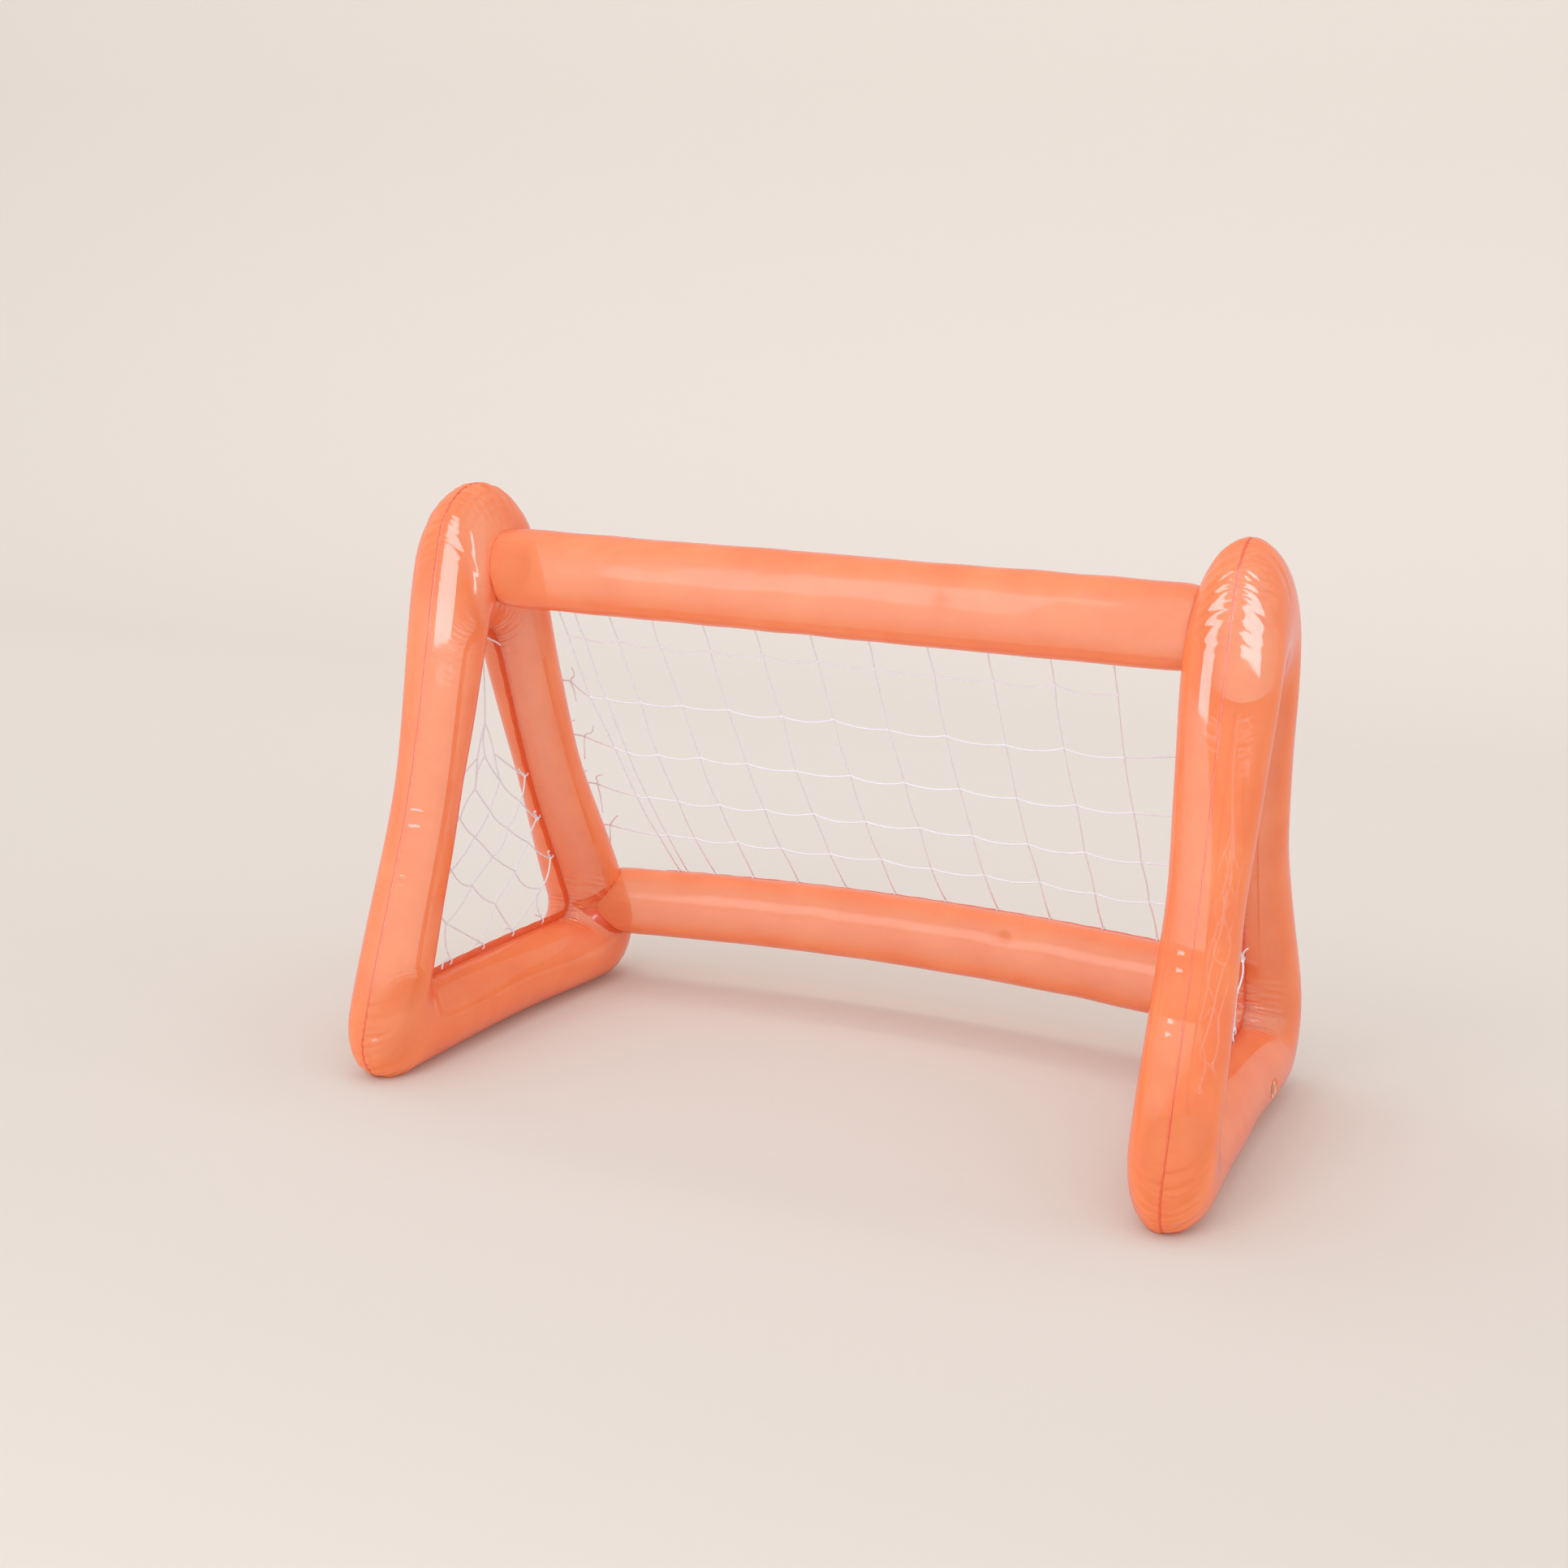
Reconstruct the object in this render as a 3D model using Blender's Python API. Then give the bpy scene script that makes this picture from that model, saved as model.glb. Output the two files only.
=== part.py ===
"""An inflatable goal for ball games.

Two triangular side frames stand on the ground. A crossbar joins their tops, and a bowed bar joins their
rear corners. These four are separate air chambers, each with its own valve. Flanges with punched holes
run along the chambers' seams, and three string nets are tied through the holes.

Metres, with +Z up. The goal's mouth faces -Y. The origin is on the ground, in the middle of the goal's box.
"""

from collections import namedtuple
from math import cos, exp, pi, radians, sin, sqrt

import bmesh
import bpy
import numpy as np
from mathutils import Matrix, Vector

# Side frame, a rounded triangle seen from the side, measured between the centres of its corners
FRAME_SPACING = 1.200
TOE_OUT = radians(2.2)
FOOTPRINT = 0.606
TOP_AHEAD = 0.358
TOP_HEIGHT = 0.802
FOOT_SINK = 0.004

# Side frame's corners: outer radius, radius of the opening's corner, half thickness of the swollen lobe
FRONT_RADIUS = 0.0655
REAR_RADIUS = 0.085
TOP_RADIUS = 0.106
FRONT_FILLET = 0.030
REAR_FILLET = 0.023
TOP_FILLET = 0.055
FRONT_HALF = 0.060
REAR_HALF = 0.077
TOP_HALF = 0.068

# Side frame's legs: width between the corners' tangents, half thickness at mid length, how far the outer
# seam draws in there, and how far the inner seam swells into the opening
FRONT_LEG_WIDTH = 0.113
REAR_LEG_WIDTH = 0.115
BOTTOM_WIDTH = 0.130
FRONT_LEG_HALF = 0.054
REAR_LEG_HALF = 0.057
BOTTOM_HALF = 0.065
FRONT_LEG_WAIST = 0.022
REAR_LEG_WAIST = 0.017
BOTTOM_WAIST = 0.006
LEG_BULGE = 0.012
BOTTOM_BULGE = 0.002

# Crossbars: the top one is placed from the frames' top corners, the rear one from their rear corners
TOP_BAR_RADIUS = 0.062
TOP_BAR_END_RADIUS = 0.058
TOP_BAR_FORWARD = 0.007
TOP_BAR_DROP = 0.023
REAR_BAR_RADIUS = 0.059
REAR_BAR_END_RADIUS = 0.055
REAR_BAR_AHEAD = 0.012
REAR_BAR_HEIGHT = 0.144
REAR_BAR_BOW = 0.063
REAR_BAR_RISE = 0.008
BAR_SHOULDER = 0.030

# Film, seams and the clearance between touching pieces
GAP = 0.0003
DISC_THICKNESS = 0.0005
FLANGE_WIDTH = 0.012
FLANGE_THICKNESS = 0.0008
HOLE_RADIUS = 0.0027
HOLE_TOOL_DEPTH = FLANGE_THICKNESS * 4
BAR_FLANGE_MARGIN = 0.018
TOP_FLANGE_ANGLE = radians(-55)
REAR_FLANGE_ANGLE = radians(42)

# Net string and its knots
STRING_HALF = 0.0012
KNOT_HALF = 0.0017

# Cut string ends: their length, how far they lean off the seam's line, and their bend
TAIL_LENGTH = 0.042
TAIL_LEAN_OFF_SEAM = 0.40
TAIL_LEAN_OUT = 0.35
TAIL_BEND_PLACE = 0.35
TAIL_BEND = 0.003

# Back net: columns are gathered towards the left. The rows are placed by their share of the way down.
COLUMNS = 12
COLUMN_SPACING = 0.0955
GATHER = 0.68
GATHER_FADE = 1.6
FIRST_COLUMN = 0.127
BOTTOM_DRIFT = 0.035
ROWS = 5
FIRST_ROW = 0.0812
ROW_STEP = 0.1830
NET_SAG = 0.030
STRING_DROOP = 0.004
TIE_STANDOFF = 0.038

# Side net: shares of the way down the opening, from its top corner
TOP_KNOT = 0.25
NARROW_ROW = 0.36
NARROW_SPREAD = 0.40
TIED_ROWS = (0.47, 0.64, 0.81)
LAST_ROW = 0.91
BOTTOM_TIES = (0.16, 0.39, 0.61, 0.84)

# Valve, measured along its own axis from the chamber's surface. The pocket is the room behind it, and the
# recess that seats its flange is cut from the pocket out past the surface.
VALVE_FLANGE_RADIUS = 0.014
VALVE_FLANGE_THICKNESS = 0.0012
VALVE_FLANGE_DEPTH = 0.0007
SLEEVE_BORE = 0.0065
SLEEVE_WALL = 0.0012
SLEEVE_LENGTH = 0.0023
STEM_RADIUS = 0.0062
STEM_BORE = 0.0040
STEM_LENGTH = 0.018
STEM_RIM_RADIUS = 0.0080
STEM_RIM_HEIGHT = 0.0004
STEM_COLLAR_RADIUS = 0.0074
STEM_COLLAR_HEIGHT = 0.0015
CAP_RADIUS = 0.0062
CAP_THICKNESS = 0.0016
PLUG_RADIUS = 0.0035
PLUG_TIP_RADIUS = 0.0028
PLUG_LENGTH = 0.0035
STRAP_WIDTH = 0.005
STRAP_THICKNESS = 0.0008
FLAP_RADIUS = 0.0050
FLAP_THICKNESS = 0.0008
FLAP_TAB_WIDTH = 0.004
POCKET_RADIUS = 0.0082
POCKET_DEPTH = 0.031
RECESS_REACH = 0.010
FRAME_VALVE_PLACE = 0.73
BAR_VALVE_OFFSET = 0.15

# Smoothness
TUBE_SIDES = 20
CORNER_STEPS = 7
LEG_STEPS = 5
BAR_STEPS = 8
SHOULDER_STEPS = 4
ROUND_SIDES = 14
HOLE_SIDES = 8

Corner = namedtuple("Corner", "centre radius fillet half")
Leg = namedtuple("Leg", "start end width half waist bulge")
Section = namedtuple("Section", "outer inner half normal")
FlangePoint = namedtuple("FlangePoint", "base out across")

# The frame's own axes: x across it, y along its footprint from the rear corner's centre, z up
CORNERS = {
    "front": Corner((-FOOTPRINT, FRONT_RADIUS - FOOT_SINK), FRONT_RADIUS, FRONT_FILLET, FRONT_HALF),
    "rear": Corner((0.0, REAR_RADIUS - FOOT_SINK), REAR_RADIUS, REAR_FILLET, REAR_HALF),
    "top": Corner((-TOP_AHEAD, TOP_HEIGHT), TOP_RADIUS, TOP_FILLET, TOP_HALF),
}
LEGS = {
    "bottom": Leg("front", "rear", BOTTOM_WIDTH, BOTTOM_HALF, BOTTOM_WAIST, BOTTOM_BULGE),
    "rear_leg": Leg("rear", "top", REAR_LEG_WIDTH, REAR_LEG_HALF, REAR_LEG_WAIST, LEG_BULGE),
    "front_leg": Leg("top", "front", FRONT_LEG_WIDTH, FRONT_LEG_HALF, FRONT_LEG_WAIST, LEG_BULGE),
}
REAR_BAR_BACK = REAR_BAR_BOW + REAR_BAR_RADIUS - REAR_BAR_AHEAD
REAR_CORNER_Y = (FOOTPRINT * cos(TOE_OUT) + FRONT_RADIUS - REAR_BAR_BACK) / 2
SIDES = {"left": -1, "right": 1}


# Materials

def material(name, colour, roughness, transmission=0.0):
    made = bpy.data.materials.new(name)
    made.use_nodes = True
    shader = made.node_tree.nodes["Principled BSDF"]
    shader.inputs["Base Color"].default_value = (*colour, 1.0)
    shader.inputs["Roughness"].default_value = roughness
    shader.inputs["Metallic"].default_value = 0.0
    shader.inputs["Transmission Weight"].default_value = transmission
    made.diffuse_color = (*colour, 1.0)
    return made


def make_materials():
    return {
        "film": material("coral film", (0.88, 0.27, 0.15), 0.12, 0.3),
        "seam": material("seam film", (0.90, 0.36, 0.22), 0.20, 0.3),
        "string": material("net string", (0.86, 0.84, 0.90), 0.60),
        "valve": material("valve plastic", (0.86, 0.30, 0.18), 0.30),
    }


# Meshes

def loft(rows, closed):
    """A surface through rows of points that are rings alike; an open one gets flat ends."""
    mesh = bmesh.new()
    rings = [[mesh.verts.new(point) for point in row] for row in rows]
    count = len(rings)
    for i in range(count if closed else count - 1):
        first, second = rings[i], rings[(i + 1) % count]
        for j in range(len(first)):
            k = (j + 1) % len(first)
            mesh.faces.new((first[j], first[k], second[k], second[j]))
    if not closed:
        mesh.faces.new(rings[0])
        mesh.faces.new(list(reversed(rings[-1])))
    bmesh.ops.recalc_face_normals(mesh, faces=mesh.faces)
    return mesh


def place(name, mesh, look=None, parent=None, matrix=None):
    """An object from a bmesh, placed under its parent by a matrix."""
    data = bpy.data.meshes.new(name)
    mesh.to_mesh(data)
    mesh.free()
    if look:
        data.materials.append(look)
    made = bpy.data.objects.new(name, data)
    bpy.context.collection.objects.link(made)
    made.parent = parent
    made.matrix_local = matrix or Matrix.Identity(4)
    return made


def guide(name, parent=None, matrix=None):
    made = bpy.data.objects.new(name, None)
    bpy.context.collection.objects.link(made)
    made.parent = parent
    made.matrix_local = matrix or Matrix.Identity(4)
    return made


def combine(target, tool, operation):
    """Cuts, joins or trims the target with a tool object, then removes the tool."""
    modifier = target.modifiers.new(operation.lower(), "BOOLEAN")
    modifier.object = tool
    modifier.operation = operation
    modifier.solver = "EXACT"
    bpy.context.view_layer.update()
    shape = target.evaluated_get(bpy.context.evaluated_depsgraph_get())
    result = bpy.data.meshes.new_from_object(shape)
    target.modifiers.clear()
    target.data = result
    bpy.data.objects.remove(tool)


def shade_round(item, angle=radians(35)):
    item.data.shade_smooth()
    item.data.set_sharp_from_angle(angle=angle)


def circle(radius, z, sides=ROUND_SIDES):
    steps = [2 * pi * k / sides for k in range(sides)]
    return [Vector((radius * cos(t), radius * sin(t), z)) for t in steps]


def turned(profile, sides=ROUND_SIDES):
    """A ring turned about Z from a closed profile of (radius, z) points."""
    rows = []
    for k in range(sides):
        t = 2 * pi * k / sides
        rows.append([Vector((r * cos(t), r * sin(t), z)) for r, z in profile])
    return loft(rows, closed=True)


def stacked(profile, sides=ROUND_SIDES):
    """A solid of circles stacked along Z from (radius, z) points."""
    return loft([circle(r, z, sides) for r, z in profile], closed=False)


def prism(points, width):
    """A solid with the outline of (x, z) points, as wide as given along Y."""
    rows = [[Vector((x, side * width / 2, z)) for x, z in points] for side in (-1, 1)]
    return loft(rows, closed=False)


# Side frame's outline

def smooth(t):
    t = min(max(t, 0.0), 1.0)
    return t * t * (3 - 2 * t)


def outward_normal(leg):
    """The outward normal of the straight line that touches a leg's two corner circles."""
    a, b = CORNERS[leg.start], CORNERS[leg.end]
    along = Vector(b.centre) - Vector(a.centre)
    lean = (a.radius - b.radius) / along.length
    along.normalize()
    return lean * along + sqrt(1 - lean * lean) * Vector((along.y, -along.x))


def inner_centre(corner_name):
    """The centre of the opening's rounded corner: where the two legs' inner lines meet, a fillet further in."""
    corner = CORNERS[corner_name]
    normals, offsets = [], []
    for leg in LEGS.values():
        if corner_name in (leg.start, leg.end):
            normal = outward_normal(leg)
            normals.append(normal)
            offsets.append(normal.dot(Vector(corner.centre)) + corner.radius - leg.width - corner.fillet)
    return Vector(np.linalg.solve(np.array(normals), np.array(offsets)))


def leg_section(leg, t):
    """The section of a leg, a share t of the way along it."""
    normal = outward_normal(leg)
    a, b = CORNERS[leg.start], CORNERS[leg.end]
    outer_start = Vector(a.centre) + normal * a.radius
    outer_end = Vector(b.centre) + normal * b.radius
    inner_start = inner_centre(leg.start) + normal * a.fillet
    inner_end = inner_centre(leg.end) + normal * b.fillet
    draw = 16 * t * t * (1 - t) * (1 - t)
    outer = outer_start.lerp(outer_end, t) - normal * leg.waist * draw
    inner = inner_start.lerp(inner_end, t) - normal * leg.bulge * draw
    near_start, near_end = 1 - smooth(2 * t), smooth(2 * t - 1)
    half = leg.half + (a.half - leg.half) * near_start + (b.half - leg.half) * near_end
    return Section(outer, inner, half, normal)


def corner_sections(corner_name, before, after):
    """The sections that fan round a corner, from the leg before it to the leg after it."""
    corner = CORNERS[corner_name]
    start, end = outward_normal(before), outward_normal(after)
    turn = start.angle_signed(end)
    turn = -turn if turn < 0 else 2 * pi - turn
    first = np.arctan2(start.y, start.x)
    centre = inner_centre(corner_name)
    for k in range(CORNER_STEPS):
        angle = first + turn * k / (CORNER_STEPS - 1)
        way = Vector((cos(angle), sin(angle)))
        outer, inner = Vector(corner.centre) + way * corner.radius, centre + way * corner.fillet
        yield Section(outer, inner, corner.half, way)


def frame_sections():
    """All sections round a side frame in order: each corner, then the leg that leaves it."""
    legs = list(LEGS.values())
    sections = []
    for i, leg in enumerate(legs):
        sections.extend(corner_sections(leg.start, legs[i - 1], leg))
        sections.extend(leg_section(leg, k / (LEG_STEPS + 1)) for k in range(1, LEG_STEPS + 1))
    return sections


def frame_mesh(grow=0.0):
    """The inflated frame, or a copy grown by an even offset, flat where it rests on the ground."""
    rows = []
    for outer, inner, half, _ in frame_sections():
        middle, arm = (outer + inner) / 2, (outer - inner) / 2
        arm *= 1 + grow / arm.length
        row = []
        for k in range(TUBE_SIDES):
            t = 2 * pi * k / TUBE_SIDES
            at = middle + arm * cos(t)
            row.append(Vector(((half + grow) * sin(t), at.x, max(at.y, -grow))))
        rows.append(row)
    mesh = loft(rows, closed=True)
    # The same diagonals in every copy keep a grown frame an even distance outside the plain one
    bmesh.ops.triangulate(mesh, faces=mesh.faces, quad_method="FIXED")
    return mesh


def frame_matrix(side):
    """Where a frame's own axes stand in the goal's axes."""
    sign = SIDES[side]
    origin = Matrix.Translation((sign * FRAME_SPACING / 2, REAR_CORNER_Y, 0))
    return origin @ Matrix.Rotation(sign * TOE_OUT, 4, "Z")


def frame_to_goal(side, point):
    return frame_matrix(side) @ Vector(point)


# Crossbars

def half_span(y):
    """Half the distance between the frames' middle planes at this depth."""
    return FRAME_SPACING / 2 + (REAR_CORNER_Y - y) * sin(TOE_OUT)


def top_bar_centre(x):
    return Vector((x, REAR_CORNER_Y - TOP_AHEAD - TOP_BAR_FORWARD, TOP_HEIGHT - TOP_BAR_DROP))


def rear_bar_centre(x):
    y = REAR_CORNER_Y - REAR_BAR_AHEAD
    share = 1 - (x / half_span(y)) ** 2
    return Vector((x, y + REAR_BAR_BOW * share, REAR_BAR_HEIGHT + REAR_BAR_RISE * share))


def ring_across(middle, radius):
    """A ring of points round a bar, square to X."""
    steps = [2 * pi * k / TUBE_SIDES for k in range(TUBE_SIDES)]
    return [middle + Vector((0, radius * cos(t), radius * sin(t))) for t in steps]


def bar_mesh(centre, radius, end_radius, frame_half):
    """A tube between the frames' middle planes, rounded in where it meets their faces."""
    span = half_span(centre(FRAME_SPACING / 2).y)
    face = span - frame_half
    half = [(span, end_radius), (face, end_radius)]
    for k in range(1, SHOULDER_STEPS):
        share = k / SHOULDER_STEPS
        bulge = sqrt(1 - (1 - share) ** 2)
        half.append((face - BAR_SHOULDER * share, end_radius + (radius - end_radius) * bulge))
    plain = face - BAR_SHOULDER
    stations = [(-x, r) for x, r in half]
    stations += [(plain * (2 * k / BAR_STEPS - 1), radius) for k in range(BAR_STEPS + 1)]
    stations += [(x, r) for x, r in reversed(half)]
    return loft([ring_across(centre(x), r) for x, r in stations], closed=False)


def trim_by_frames(item, frames, grow, operation="DIFFERENCE", sides=("left", "right")):
    for side in sides:
        tool = place("frame_tool", frame_mesh(grow), parent=frames[side])
        combine(item, tool, operation)


def end_disc(name, side, centre, end_radius, frame_half, frames, look):
    """The film disc that is welded between a bar's end and a frame's face."""
    span = half_span(centre(FRAME_SPACING / 2).y)
    sign = SIDES[side]
    rows = []
    for x in (span, span - frame_half - BAR_SHOULDER):
        rows.append(ring_across(centre(sign * x), end_radius - GAP))
    disc = place(name, loft(rows, closed=False), look)
    trim_by_frames(disc, frames, GAP, "DIFFERENCE", (side,))
    trim_by_frames(disc, frames, GAP + DISC_THICKNESS, "INTERSECT", (side,))
    shade_round(disc)
    return disc


# Flanges with punched holes

def flange(name, points, holes, closed, look, parent=None):
    """A strip standing on a seam. Each point gives its base, its way out and its thickness direction."""
    rows = []
    for base, out, across in points:
        near, far = base + out * GAP, base + out * (GAP + FLANGE_WIDTH)
        thick = across * FLANGE_THICKNESS / 2
        rows.append([near - thick, far - thick, far + thick, near + thick])
    made = place(name, loft(rows, closed), look, parent)
    cutter = bmesh.new()
    for hole in holes:
        middle = hole_centre(hole)
        turn = hole.across.to_track_quat("Z", "Y").to_matrix().to_4x4()
        bmesh.ops.create_cone(
            cutter, cap_ends=True, segments=HOLE_SIDES, radius1=HOLE_RADIUS, radius2=HOLE_RADIUS,
            depth=HOLE_TOOL_DEPTH, matrix=Matrix.Translation(middle) @ turn,
        )
    combine(made, place("hole_tool", cutter, parent=parent), "DIFFERENCE")
    return made


def hole_centre(point):
    return point.base + point.out * (GAP + FLANGE_WIDTH / 2)


def in_frame(at, out):
    """A flange point in a frame's middle plane, from (y, z) values."""
    return FlangePoint(Vector((0, at.x, at.y)), Vector((0, out.x, out.y)), Vector((1, 0, 0)))


def opening_point(leg_name, t):
    """The seam round the frame's opening, with the way into the opening."""
    section = leg_section(LEGS[leg_name], t)
    return in_frame(section.inner, -section.normal)


def back_point(t):
    """The seam down the back of the rear leg, a share t of the way up."""
    section = leg_section(LEGS["rear_leg"], t)
    return in_frame(section.outer, section.normal)


def bar_point(centre, radius, angle, x):
    """A line along a bar, at an angle round it from +Y towards +Z."""
    out = Vector((0, cos(angle), sin(angle)))
    return FlangePoint(centre(x) + out * radius, out, Vector((0, -out.z, out.y)))


def top_point(x):
    return bar_point(top_bar_centre, TOP_BAR_RADIUS, TOP_FLANGE_ANGLE, x)


def rear_point(x):
    return bar_point(rear_bar_centre, REAR_BAR_RADIUS, REAR_FLANGE_ANGLE, x)


# Nets: knots are small blocks, and each string joins a face of one knot to a face of another

class Net:
    def __init__(self):
        self.mesh = bmesh.new()
        self.knots = {}
        self.taken = set()

    def knot(self, key, at, u, v, half=KNOT_HALF):
        """A knot at a point, with its faces named for the directions u, v and n = u x v."""
        u, v = u.normalized(), v.normalized()
        n = u.cross(v).normalized()
        v = n.cross(u)
        corners = {}
        for i in (-1, 1):
            for j in (-1, 1):
                for k in (-1, 1):
                    corners[i, j, k] = self.mesh.verts.new(at + (i * u + j * v + k * n) * half)
        self.knots[key] = corners

    def face(self, key, side):
        """The four corners of a knot's face, turning the same way seen from outside."""
        sign = 1 if side[0] == "+" else -1
        axis = "uvn".index(side[1])
        ring = []
        for a, b in ((-1, -1), (1, -1), (1, 1), (-1, 1)):
            place_of = [0, 0, 0]
            place_of[axis] = sign
            place_of[(axis + 1) % 3] = a
            place_of[(axis + 2) % 3] = b
            ring.append(self.knots[key][tuple(place_of)])
        return ring if sign > 0 else ring[::-1]

    def string(self, a, side_a, b, side_b, through=None, droop=0.0):
        """A string from one knot's face to another's, by way of the points given or its own middle."""
        start = self.face(a, side_a)
        end = self.face(b, side_b)[::-1]
        self.taken |= {(a, side_a), (b, side_b)}
        turns = [end[k:] + end[:k] for k in range(4)]
        end = min(turns, key=lambda ring: sum((p.co - q.co).length for p, q in zip(start, ring)))
        p, q = middle_of(start), middle_of(end)
        points = through or [p.lerp(q, 0.5) - Vector((0, 0, droop))]
        rings = [start]
        for i, point in enumerate(points):
            share = (i + 1) / (len(points) + 1)
            ring = []
            for first, last in zip(start, end):
                arm = (first.co - p).lerp(last.co - q, share)
                ring.append(self.mesh.verts.new(point + arm.normalized() * STRING_HALF * sqrt(2)))
            rings.append(ring)
        rings.append(end)
        for one, two in zip(rings, rings[1:]):
            for k in range(4):
                m = (k + 1) % 4
                self.mesh.faces.new((one[k], one[m], two[m], two[k]))

    def finish(self, name, look, parent=None):
        for key in self.knots:
            for side in ("+u", "-u", "+v", "-v", "+n", "-n"):
                if (key, side) not in self.taken:
                    self.mesh.faces.new(self.face(key, side))
        bmesh.ops.recalc_face_normals(self.mesh, faces=self.mesh.faces)
        place(name, self.mesh, look, parent)


def middle_of(ring):
    return sum((vert.co for vert in ring), Vector()) / len(ring)


def tie_offset():
    """From a flange's middle to a knot that sits against it."""
    return FLANGE_THICKNESS / 2 + GAP + KNOT_HALF


def column_places():
    """The columns' places along the goal at the top bar, from the left."""
    x = -half_span(top_bar_centre(0).y) + FIRST_COLUMN
    places = [x]
    for i in range(COLUMNS - 1):
        x += COLUMN_SPACING * (1 - GATHER * exp(-i / GATHER_FADE))
        places.append(x)
    return places


def foot_places():
    """The columns' places at the rear bar."""
    return [x + BOTTOM_DRIFT * exp(-i / GATHER_FADE) for i, x in enumerate(column_places())]


def back_ties():
    """Places up the rear leg's back seam where the back net's rows are tied."""
    leg = LEGS["rear_leg"]
    low, high = leg_section(leg, 0).outer.y, leg_section(leg, 1).outer.y
    top, foot = hole_centre(top_point(0)).z, hole_centre(rear_point(0)).z
    ties = {}
    for row in range(2, ROWS + 1):
        share = FIRST_ROW + ROW_STEP * (row - 1)
        z = top + (foot - top) * share - NET_SAG * 4 * share * (1 - share)
        ties[row] = (z - low) / (high - low)
    return ties


def back_net(look):
    net = Net()
    across = Vector((1, 0, 0))
    tie = tie_offset()
    for i, (x, foot_x) in enumerate(zip(column_places(), foot_places())):
        top, foot = top_point(x), rear_point(foot_x)
        start, end = hole_centre(top) + top.across * tie, hole_centre(foot)
        down = (end - start).normalized()
        net.knot((i, "top"), start, across, top.out)
        net.knot((i, "top_outside"), start - top.across * 2 * tie, across, top.out)
        net.knot((i, "foot"), end - foot.across * tie, across, -foot.across)
        for row in range(1, ROWS + 1):
            share = FIRST_ROW + ROW_STEP * (row - 1)
            sag = NET_SAG * 4 * share * (1 - share)
            net.knot((i, row), start.lerp(end, share) - Vector((0, 0, sag)), across, down)
        net.string((i, "top"), "-n", (i, "top_outside"), "+n")
        net.string((i, "top"), "+v", (i, 1), "-v")
        for row in range(1, ROWS):
            net.string((i, row), "+v", (i, row + 1), "-v")
        net.string((i, ROWS), "+v", (i, "foot"), "-v", through=[end + foot.across * tie, end])
    for i in range(COLUMNS - 1):
        for row in range(1, ROWS + 1):
            net.string((i, row), "+u", (i + 1, row), "-u", droop=STRING_DROOP)
    for side, column, face in (("left", 0, "-u"), ("right", COLUMNS - 1, "+u")):
        sign = SIDES[side]
        for row, t in back_ties().items():
            hole = hole_centre(back_point(t))
            beyond = frame_to_goal(side, hole + Vector((sign * tie, 0, 0)))
            through = frame_to_goal(side, hole)
            inside = frame_to_goal(side, hole - Vector((sign * TIE_STANDOFF, 0, 0)))
            turn = frame_matrix(side).to_3x3()
            net.knot((side, row), beyond, turn @ across, turn @ Vector((0, 0, 1)))
            own = "-u" if sign > 0 else "+u"
            net.string((column, row), face, (side, row), own, through=[inside, through])
    net.finish("back_net", look)


def opening_row(share, spread, count):
    """Points across the frame's opening, a share of the way down it, between the lines of holes."""
    front = hole_centre(opening_point("front_leg", share))
    rear = hole_centre(opening_point("rear_leg", 1 - share))
    for k in range(count):
        yield front.lerp(rear, 0.5 + spread * ((k + 0.5) / count - 0.5))


def opening_ties():
    """Flange points of every hole round the opening, by name."""
    ties = {"peak": peak_point()}
    for i, share in enumerate(TIED_ROWS):
        ties["front", i] = opening_point("front_leg", share)
        ties["rear", i] = opening_point("rear_leg", 1 - share)
    for i, share in enumerate(BOTTOM_TIES):
        ties["bottom", i] = opening_point("bottom", share)
    return ties


def peak_point():
    """The opening's top corner, on the line that halves the corner."""
    section = list(corner_sections("top", LEGS["rear_leg"], LEGS["front_leg"]))[CORNER_STEPS // 2]
    return in_frame(section.inner, -section.normal)


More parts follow.
